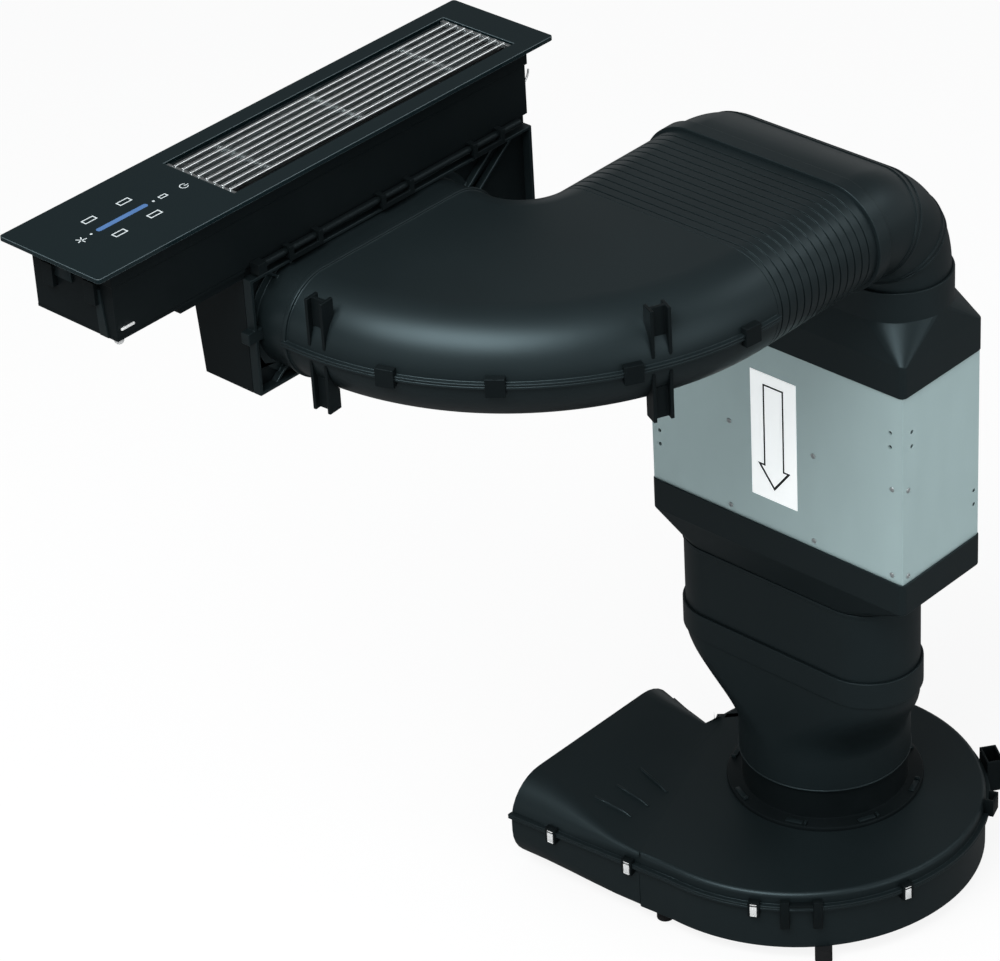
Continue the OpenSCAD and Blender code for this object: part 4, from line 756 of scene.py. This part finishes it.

# %% [markdown]
# The bayonet ring: a low turned ring with a rounded shoulder, eight locking ramps on it and the
# neck that the transition slides over. Ring and neck are in the deeper black, which on the neck is
# painted shade from the transition over it. The transition ends in a thin bead, which catches the
# light all round.

# %% Bayonet ring and bead
RING_Z = ring_low.z
round_low, round_high = box_mm("flat_to_round")
NECK_R, NECK_WALL, ROUND_R = 77.3, 2.5, 80.0
RING_R, RING_T = (ring_high.x - ring_low.x) / 2, 4.0
ring_profile = [(NECK_R - NECK_WALL, 0), (RING_R, 0), (RING_R, RING_T - 1.6),
                (RING_R - 0.5, RING_T - 0.5), (RING_R - 1.6, RING_T), (NECK_R + 1.2, RING_T),
                (NECK_R + 0.3, RING_T + 0.4), (NECK_R, RING_T + 1.4),
                (NECK_R, ring_high.z - RING_Z), (NECK_R - NECK_WALL, ring_high.z - RING_Z)]
# deep black, darker than its satin ramps: painted shade on the neck under the transition
ring_piece = place_piece("bayonet_ring", turned_ring("bayonet_ring", ring_profile), deep_black,
                         (fan_x, fan_y, RING_Z))
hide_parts("inlet_ring")
RAMP_R = RING_R - 5.2
ramp = merged("ring_ramp", [
    pillow("ramp_a", RAMP_R, 0, 5.0, 17, RING_T, RING_T + 1.6, 1.2, 0.5),
    pillow("ramp_b", RAMP_R, 10.8, 5.0, 2.6, RING_T, RING_T + 3.0, 0.9, 0.5)])
repeat("ring_ramps", ramp, [(fan_x, fan_y, RING_Z, 0, 0, a + 20) for a in range(0, 360, 45)],
       satin_black)
bead = turned_ring("end_bead", bead_profile(ROUND_R, round_low.z + 1.0, 0.95))
place_piece("transition_bead", bead, satin_black, (fan_x, fan_y, 0))
print("ring", round(RING_R, 1), "at", round(RING_Z, 1), "bead at", round(round_low.z, 1))

# %% [markdown]
# The two adapters and the transition are the forms where a flat oval turns into a box or
# a circle. The CAD model holds them in coarse facets; here each is drawn again as one
# closed skin through many sections, in the same places and with the same walls, so the
# light runs over the corners without a break. A section is a rounded rectangle, which is an
# oval when its radius is half its depth, and a circle when both sides are equal too.

# %% Drawing a skin
def skin(name, sections, steps=14):
    """Closed tube through sections of (z, cx, cy, w, d, r) in mm, out along one side and
    back along the other."""
    rings = [rounded_rectangle(cx, cy, w, d, min(r, w / 2, d / 2), z, steps)
             for z, cx, cy, w, d, r in sections]
    return facing_out(mesh_from_rings(name, rings, endless=True), weld=1e-6)


def grown(oval, by):
    return oval[0] + 2 * by, oval[1] + 2 * by, oval[2] + by


def between(first, last, count, ease=False, grow=0.0):
    """Sections from first to last; ease slows the change at both ends, grow thickens all."""
    rows = []
    for k in range(count + 1):
        t = k / count
        e = t * t * (3 - 2 * t) if ease else t
        row = [a + (b - a) * e for a, b in zip(first, last)]
        row[0] = first[0] + (last[0] - first[0]) * t
        rows.append((*row[:3], *grown(row[3:], grow)))
    return rows


def stand_in(node, name, sections, crease=8.5):
    """Draws the skin that stands for a node."""
    piece = place_piece(name, skin(name, sections), satin_black, crease=crease)
    soften(piece, 0.7, max(crease, 30.0))
    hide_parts(node)
    print(name, len(sections), "sections,", len(piece.data.polygons), "faces")


print("skins can be drawn")

# %% [markdown]
# Every duct joint is the same: the end of one duct slips into a socket of the next. So all
# ovals follow from the duct's own one, by its wall and by the fit between the two.

# %% Sizes of the duct ends
WALL, FIT, SPIGOT_WALL, SKIRT_WALL = 2.5, 0.2, 2.2, 2.0
up_low, up_high = box_mm("upper_adapter")
down_low, down_high = box_mm("lower_adapter")
link_low, link_high = box_mm("flat_connector")
elbow_low, elbow_high = box_mm("elbow")
RUN_X, DROP_X = (elbow_low.x + elbow_high.x) / 2, (link_low.x + link_high.x) / 2
skirt_w, skirt_d = down_high.x - down_low.x, down_high.y - down_low.y
box_x, drop_y = (down_low.x + down_high.x) / 2, (down_low.y + down_high.y) / 2
OVAL = (248.0, 94.0, 47.0)
SOCKET, SOCKET_BORE, BORE = grown(OVAL, WALL + FIT), grown(OVAL, FIT), grown(OVAL, -WALL)
SPIGOT = grown(BORE, -FIT)
SPIGOT_BORE = grown(SPIGOT, -SPIGOT_WALL)
SOCKET_DEEP, SOCKET_TALL, SKIRT_TALL, TAPER_TALL = 13.0, 28.0, 31.0, 31.5
print("oval", OVAL, "in a socket of", [round(v, 1) for v in SOCKET])

# %% [markdown]
# Each adapter has a skirt round the box, a shoulder and an oval end. The upper one ends in
# a socket for the elbow, and the lower one in a spigot that goes into the connector.

# %% Adapters
rim = (box_x, drop_y, skirt_w, skirt_d, 6.0)
rim_bore = (box_x, drop_y, skirt_w - 2 * SKIRT_WALL, skirt_d - 2 * SKIRT_WALL, 4.0)
shoulder_bore = (box_x, drop_y, skirt_w - 4 * SKIRT_WALL, skirt_d - 4 * SKIRT_WALL, 4.0)
socket_low, skirt_top = up_high.z - SOCKET_TALL, up_low.z + SKIRT_TALL
stand_in("upper_adapter", "upper_adapter_skin", [
    (up_low.z, *rim), *between((skirt_top, *rim), (socket_low, RUN_X, drop_y, *SOCKET), 8),
    (up_high.z, RUN_X, drop_y, *SOCKET), (up_high.z, RUN_X, drop_y, *SOCKET_BORE),
    (up_high.z - SOCKET_DEEP, RUN_X, drop_y, *SOCKET_BORE),
    (up_high.z - SOCKET_DEEP, RUN_X, drop_y, *BORE),
    *between((socket_low, RUN_X, drop_y, *BORE), (skirt_top - 2 * FIT, *shoulder_bore), 8),
    (skirt_top - SKIRT_WALL, *rim_bore), (up_low.z, *rim_bore)])

skirt_low = down_high.z - SKIRT_TALL
taper_low = skirt_low - TAPER_TALL
stand_in("lower_adapter", "lower_adapter_skin", [
    (down_high.z, *rim), *between((skirt_low, *rim), (taper_low, DROP_X, drop_y, *OVAL), 8),
    (taper_low, DROP_X, drop_y, *SPIGOT), (down_low.z, DROP_X, drop_y, *SPIGOT),
    (down_low.z, DROP_X, drop_y, *SPIGOT_BORE),
    *between((taper_low, DROP_X, drop_y, *SPIGOT_BORE), (skirt_low + 2 * FIT, *shoulder_bore), 8),
    (skirt_low + SKIRT_WALL, *rim_bore), (down_high.z, *rim_bore)])

# %% [markdown]
# The transition turns the oval into a circle while it moves sideways to the fan's axis. The
# change is eased at both ends, so that the skin leaves the oval and meets the circle
# without a fold, and its inner wall runs back along the same sections.

# %% Transition
ROUND, ROUND_BORE = (160.0, 160.0, ROUND_R), (155.0, 155.0, ROUND_R - WALL)
SOCKET_RUN, ROUND_RUN = 27.5, 32.5  # straight lengths before and after the change
change_top, round_top = round_high.z - SOCKET_RUN, round_low.z + ROUND_RUN
change = ((change_top, DROP_X, drop_y, *OVAL), (round_top, fan_x, fan_y, *ROUND), 28)
stand_in("flat_to_round", "transition_skin", [
    (round_high.z, DROP_X, drop_y, *SOCKET), (change_top + 0.8, DROP_X, drop_y, *SOCKET),
    *between(*change, ease=True),
    (round_low.z, fan_x, fan_y, *ROUND), (round_low.z, fan_x, fan_y, *ROUND_BORE),
    *reversed(between(*change, ease=True, grow=-WALL)),
    (round_high.z - SOCKET_DEEP, DROP_X, drop_y, *BORE),
    (round_high.z - SOCKET_DEEP, DROP_X, drop_y, *SOCKET_BORE),
    (round_high.z, DROP_X, drop_y, *SOCKET_BORE)], crease=45.0)

# %% [markdown]
# Three raised ribs run over the outlet's back. They are set on the finished shell by
# dropping rays on it, point by point, so that they follow it and none floats or is buried.

# %% Ribs on the outlet
def caught(piece):
    """Search tree over a finished mesh, for setting trim on it."""
    return BVHTree.FromPolygons([v.co for v in piece.data.vertices],
                                [list(f.vertices) for f in piece.data.polygons])


shell_top = caught(finished["fan_upper_shell"])


def top_at(x, y):
    """Height of the upper shell, in mm, under a place given from the fan's axis."""
    above = Vector(((fan_x + x) / 1000, (fan_y + y) / 1000, 0.0))
    hit = shell_top.ray_cast(above, Vector((0, 0, -1)))[0]
    return hit.z * 1000 if hit else top_z * 1000


def rib(x0, y0, x1, y1, width, height, sink=0.6, count=7):
    """Raised rib that follows the shell from one place to the other, low at its first end."""
    along = Vector((x1 - x0, y1 - y0, 0)).normalized()
    side = Vector((-along.y, along.x, 0)) * width / 2
    rings = []
    for k in range(count):
        t = k / (count - 1)
        here = Vector((x0 + (x1 - x0) * t, y0 + (y1 - y0) * t, 0))
        base = top_at(here.x, here.y)
        high = height * min(1.0, 0.35 + 1.6 * t, 4.5 * (1.0 - t) + 0.25)
        here = here + Vector((fan_x, fan_y, 0))
        profile = [(-1, -sink), (1, -sink), (0.8, high * 0.75), (0.45, high), (-0.45, high),
                   (-0.8, high * 0.75)]
        rings.append([tuple((here + side * u + Vector((0, 0, base + v))) / 1000)
                      for u, v in profile])
    return facing_out(mesh_from_rings("rib", rings))


RIB_WIDE, RIB_HIGH = 3.2, 2.6
RIB_RUNS = ((-134, -174, -94, -168), (-131, -146, -93, -145), (-133, -111, -94, -117.5))
ribs = merged("outlet_ribs", [rib(*run, RIB_WIDE, RIB_HIGH) for run in RIB_RUNS])
place_piece("outlet_ribs", ribs, satin_black)
print("ribs", len(ribs.polygons), "faces")

# %% [markdown]
# Two lugs hold a strap round the fan, and a moulded pocket sits on the front wall between two
# clips; its cheeks are deep black plates, painted shade for the dark grooves there. A ray from
# outside finds the wall that a lug stands on.

# %% Strap lugs and front pocket
LUG_AIM, RAY_START = 6.0, 60.0  # height of the rays over the split, and how far out they start


def lug(width, depth, height, wall):
    """Open strap lug: two cheeks, a back and a bridge, standing off the wall along X."""
    half, top, inner = (width - wall) / 2, height / 2, width - 2 * wall + 0.4
    return merged("lug", [
        pillow("cheek_a", depth / 2, half, depth, wall, -top, top, 0.5, 0.4),
        pillow("cheek_b", depth / 2, -half, depth, wall, -top, top, 0.5, 0.4),
        pillow("bridge", depth - wall / 2, 0, wall, inner, -top, top - 2.0, 0.5, 0.4),
        pillow("web", depth / 2, 0, depth - 1.0, inner, 1.0 - top, 1.0 - top + wall, 0.5, 0.4)])


def wall_spot(x, y, raised, angle, out=0.0):
    """Spot on the shell's outer wall, met from outside along an angle; out moves it along X."""
    a = math.radians(angle)
    away = Vector((math.cos(a), math.sin(a), 0))
    aim = Vector((fan_x + x, fan_y + y, SPLIT_Z + LUG_AIM)) / 1000
    at = shell_top.ray_cast(aim + away * RAY_START / 1000, -away)[0] * 1000
    return at.x + out, at.y, SPLIT_Z + raised, 0, 0, angle


for name, unit, spot in (("strap_lugs", lug(22, 15, 25, 2.4), wall_spot(-96, 76, 10.0, 140)),
                         ("side_lug", lug(16, 9, 18, 2.2), wall_spot(140, 62, 8.5, 20, 2.0))):
    repeat(name, unit, [spot], deep_black)
# the pocket's deep black cheeks are painted shade, standing for dark recessed grooves in the wall
pocket_with_shade_plates = merged("pocket_with_shade_plates", [
    pillow("pocket_cheek_a", 2.2, 15.0, 5.6, 9.0, -22, 8.0, 1.6, 0.5),
    pillow("pocket_cheek_b", 2.2, -15.0, 5.6, 9.0, -22, 8.0, 1.6, 0.5),
    pillow("pocket_sill", 2.4, 0, 6.0, 21.4, 3.0, 5.2, 0.8, 0.5)])
repeat("front_pocket", pocket_with_shade_plates, [on_scroll(-49.5)], deep_black)

# %% [markdown]
# The near end of the inlet head carries a tapered tab under the rim, a raised strip that
# narrows upward, and a bright lever beside the levelling screw.

# %% Near end of the inlet head
NEAR_Y = box_mm("inlet_housing")[0].y + 1.5


def tapered_plate(name, corners, out, depth):
    """Plate on the near wall; corners are (x, z) anticlockwise seen from outside, in mm."""
    mid = sum((Vector((x, 0, z)) for x, z in corners), Vector()) / len(corners)
    rings = []
    for y, shrink in ((NEAR_Y + depth, 1.0), (NEAR_Y - out + 0.5, 1.0), (NEAR_Y - out, 0.94)):
        rings.append([tuple((mid + (Vector((x, 0, z)) - mid) * shrink + Vector((0, y, 0))) / 1000)
                      for x, z in corners])
    return facing_out(mesh_from_rings(name, rings))


near_trim = merged("near_trim", [
    tapered_plate("tab", [(-19, -24.5), (1, -24.5), (1, -14), (-25, -14)], 2.4, 1.0),
    tapered_plate("strip", [(27, -62), (36.5, -62), (32, -20), (25.5, -20)], 1.6, 1.0)])
place_piece("near_trim", near_trim, satin_black)
LEVER_Y, LEVER_Z, LEVER_LONG, LEVER_T = NEAR_Y + 11.0, -53.0, 14.0, 1.8
wall_hit = caught(finished["inlet_housing"]).ray_cast(
    Vector((0.2, LEVER_Y / 1000, LEVER_Z / 1000)), Vector((-1, 0, 0)))[0]
lever = pillow("levelling_lever", wall_hit.x * 1000 + 0.6, LEVER_Y, LEVER_T, LEVER_LONG,
               LEVER_Z - LEVER_T / 2, LEVER_Z + LEVER_T / 2, 0.6, 0.3)
place_piece("levelling_lever", lever, bright_steel)
print("lever on the wall at x", round(wall_hit.x * 1000, 1))

# %% [markdown]
# The signs on the glass are thin prints: outlined fields, a blue slider bar, a star, two
# dots and a round switch sign. They are flat meshes a hair thicker than nothing, built
# from outlines, so that their edges stay crisp at any distance.

# %% Outlines of the print
PRINT_T = 0.00008


def printed(name, outlines, material):
    """Closed flat prisms on the glass from outlines (lists of x, y in metres, anticlockwise)."""
    low_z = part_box("glass_panel")[1].z
    prisms = [mesh_from_rings("prism", [[(x, y, z) for x, y in outline]
                                        for z in (low_z, low_z + PRINT_T)])
              for outline in outlines]
    add_piece(name, merged(name, prisms), material)
    print(name, len(outlines), "outlines")


def bar(x0, y0, x1, y1):
    return [(x / 1000, y / 1000) for x, y in ((x0, y0), (x1, y0), (x1, y1), (x0, y1))]


def outlined_field(x, y, w, h, line):
    """Four thin bars round a field, in mm, that don't overlap."""
    l, r, b, t = x - w / 2, x + w / 2, y - h / 2, y + h / 2
    return [bar(l, b, r, b + line), bar(l, t - line, r, t),
            bar(l, b + line, l + line, t - line), bar(r - line, b + line, r, t - line)]


def ray(x, y, angle, inner, outer, width):
    c, s = math.cos(angle), math.sin(angle)
    corners = [(inner, -width / 2), (outer, -width / 2), (outer, width / 2), (inner, width / 2)]
    return [((x + u * c - v * s) / 1000, (y + u * s + v * c) / 1000) for u, v in corners]


def arc_bars(x, y, radius, line, first, last, count=20):
    """Short bars round an arc, from first to last, in degrees."""
    bars = []
    for i in range(count):
        a = math.radians(first + (last - first) * i / count)
        b = math.radians(first + (last - first) * (i + 1) / count)
        ring = [(radius, a), (radius + line, a), (radius + line, b), (radius, b)]
        bars.append([((x + r * math.cos(t)) / 1000, (y + r * math.sin(t)) / 1000) for r, t in ring])
    return bars


print("outlines can be printed")

# %% [markdown]
# The controls lie in a row along the near end: a star, a dot, the slider between four
# touch fields, a dot, a small field and the switch sign.

# %% Print on the glass
FIELD_PLACES = ((-19, -197), (-19, -160), (15, -159), (15.5, -196.5))
STAR_Y, DOTS_Y, SWITCH_Y, DOT_R = -222.6, (-211.4, -145.3), -113.3, 1.1
signs = [side for x, y in FIELD_PLACES for side in outlined_field(x, y, 6.2, 12.6, 1.0)]
signs += outlined_field(-1, -135, 4.6, 7.8, 0.9)
signs += [ray(0, STAR_Y, math.radians(a), 0.9, 4.6, 0.9) for a in range(0, 360, 72)]
signs += [wedge for y in DOTS_Y for wedge in arc_bars(-1, y, 0.0, DOT_R, 0, 360, 12)]
signs += arc_bars(0, SWITCH_Y, 3.0, 0.8, 125, 415) + [bar(-0.4, -113.0, 0.4, -108.6)]
printed("glass_print", signs, sign_grey)
slider = [(x, y) for x, y, _ in rounded_rectangle(-1.2, -178.5, 5.0, 53.4, 2.4, 0)]
printed("slider_bar", [slider], slider_blue)

# %% [markdown]
# The label on the box carries one outlined arrow that shows the way of the air. It is
# drawn as a closed outline and a smaller one inside it, which makes the line between
# them one ribbon of even width.

# %% Arrow on the label
label_low, label_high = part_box("flow_label")
label_x = (label_low.x + label_high.x) / 2
label_mid = (label_low.z + label_high.z) / 2
LINE, INK_T = 0.0017, 0.00008
ARROW = (0.0115, 0.0185, 0.106, 0.024)  # half shaft, half head, length and length of the head


def arrow_outline(shaft, head, length, head_l, shrink):
    """Down arrow round its own middle; shrink draws the same arrow inside itself."""
    lean = head / head_l
    tip = shrink * math.hypot(1, lean) / lean
    neck = head_l - length / 2 - shrink
    half = [(shaft - shrink, length / 2 - shrink), (shaft - shrink, neck),
            (head - shrink * 2.4, neck)]
    return [(-x, z) for x, z in half] + [(0, -length / 2 + tip * 1.3)] + half[::-1]


rings = [[(label_x + x, label_low.y - raised, label_mid + z)
          for x, z in arrow_outline(*ARROW, shrink)]
         for raised, shrink in ((0.0, 0.0), (0.0, LINE), (INK_T, LINE), (INK_T, 0.0))]
ribbon = facing_out(mesh_from_rings("flow_arrow", rings, endless=True))
add_piece("flow_arrow", ribbon, printed_black)
print("arrow on the label at", round(label_x, 4), round(label_mid, 4))

# %% [markdown]
# Helpers of the studio. A mask asks each ray whether it comes from the camera or from a
# mirror-like surface, so that the backdrop can look white without lighting the object, and
# each lamp is a soft rectangle that is aimed at a point.

# %% Studio helpers
def look_mask(tree, camera_share, mirror_share):
    """How much of the white backdrop a ray sees by its kind, and that of mirror rays alone."""
    seen = put(tree, "ShaderNodeLightPath", (-1100, 300)).outputs
    by_eye = maths(tree, (-900, 400), "MAXIMUM", seen["Is Camera Ray"], seen["Is Transmission Ray"])
    direct = maths(tree, (-700, 400), "MULTIPLY", by_eye, camera_share)
    mirrored = maths(tree, (-700, 200), "MULTIPLY", seen["Is Glossy Ray"], mirror_share)
    return maths(tree, (-500, 300), "MAXIMUM", direct, mirrored), mirrored


def mixed(tree, mask, plain, bright, output):
    """Ends a tree with two shaders mixed by a mask."""
    blend = put(tree, "ShaderNodeMixShader", (50, 0), inputs={
        "Fac": mask, 1: plain.outputs[0], 2: bright.outputs[0]})
    put(tree, output, (250, 0), inputs={"Surface": blend.outputs[0]})


def soft_lamp(name, place, aim, size, power):
    data = bpy.data.lights.new(name, "AREA")
    data.shape = "RECTANGLE"
    data.size, data.size_y = size
    data.energy = power
    lamp = bpy.data.objects.new(name, data)
    lamp.location = place
    lamp.rotation_euler = (Vector(aim) - Vector(place)).to_track_quat("-Z", "Y").to_euler()
    scene.collection.objects.link(lamp)


print("studio helpers ready")

# %% [markdown]
# The floor is pale and keeps the object's soft shadow, and most of what the camera sees of
# it is plain white. In mirror-like surfaces it is nearly black, because a brightly lit
# floor would turn the sides of the black housing grey.

# %% Floor
floor_z = cad_box[0].z
REACH, FLOOR_PAINT, FLOOR_IN_MIRRORS = 30.0, 0.8, 0.10
WHITE_TO_EYE, WHITE_IN_MIRRORS = 0.88, 0.05
WHITE = (1, 1, 1, 1)
floor = bpy.data.objects.new("floor", mesh_of("floor", [
    (x * REACH, y * REACH, floor_z) for x, y in ((-1, -1), (1, -1), (1, 1), (-1, 1))],
    [[0, 1, 2, 3]]))
scene.collection.objects.link(floor)
floor_paint = bpy.data.materials.new("floor_paint")
floor_paint.use_nodes = True
tree = floor_paint.node_tree
tree.nodes.clear()
mask, mirrored = look_mask(tree, WHITE_TO_EYE, WHITE_IN_MIRRORS)
paint = put(tree, "ShaderNodeMapRange", (-400, 100), inputs={
    "Value": mirrored, "From Max": WHITE_IN_MIRRORS, "To Min": FLOOR_PAINT,
    "To Max": FLOOR_IN_MIRRORS})
lit = put(tree, "ShaderNodeBsdfDiffuse", (-200, 100), inputs={"Color": paint.outputs["Result"]})
glow = put(tree, "ShaderNodeEmission", (-200, -100), inputs={"Color": WHITE, "Strength": 1.0})
mixed(tree, mask, lit, glow, "ShaderNodeOutputMaterial")
floor.data.materials.append(floor_paint)
print("floor at", round(floor_z, 4))

# %% [markdown]
# The surround is white to the camera. In a reflection it is white only up to a little
# above the horizon and dim overhead, as in a room with a white sweep and a dark ceiling,
# so flat black tops stay black. It lights the object only by its dim, even share.

# %% Surround
world = bpy.data.worlds.new("studio")
scene.world = world
world.use_nodes = True
tree = world.node_tree
tree.nodes.clear()
mask, mirrored = look_mask(tree, 1.0, 1.0)
way = put(tree, "ShaderNodeTexCoord", (-1100, -300)).outputs["Generated"]
height = put(tree, "ShaderNodeSeparateXYZ", (-900, -300), inputs={0: way}).outputs["Z"]
sweep = put(tree, "ShaderNodeMapRange", (-700, -300), interpolation_type="SMOOTHSTEP", inputs={
    "Value": height, "From Min": 0.08, "From Max": 0.36, "To Min": 0.35, "To Max": 0.88})
dark = maths(tree, (-500, -200), "MULTIPLY", sweep.outputs["Result"], mirrored)
level = maths(tree, (-350, -200), "SUBTRACT", 1.0, dark)
dim = put(tree, "ShaderNodeBackground", (-200, 100), inputs={
    "Color": (0.96, 0.98, 1.0, 1), "Strength": 0.55})
white = put(tree, "ShaderNodeBackground", (-200, -100), inputs={"Color": WHITE, "Strength": level})
mixed(tree, mask, dim, white, "ShaderNodeOutputWorld")
print("surround", world.name, len(tree.nodes), "nodes")

# %% [markdown]
# A wide soft lamp over the camera draws the long highlight on the bend's shoulder. A weaker
# one on the right lights the side of the box, and one behind parts the ducts from the dark.

# %% Lamps
soft_lamp("key", (0.50, -1.40, 1.90), (0.2, 0.15, -0.1), (2.2, 1.2), 100.0)
soft_lamp("side", (3.2, 0.4, 0.4), (0.2, 0.3, -0.4), (1.6, 1.8), 13.0)
soft_lamp("back", (1.75, 1.95, 1.70), (0.1, 0.1, 0.0), (1.5, 0.9), 11.0)

# %% [markdown]
# The last cell brings the scene up to date.

# %% Finish
bpy.context.view_layer.update()
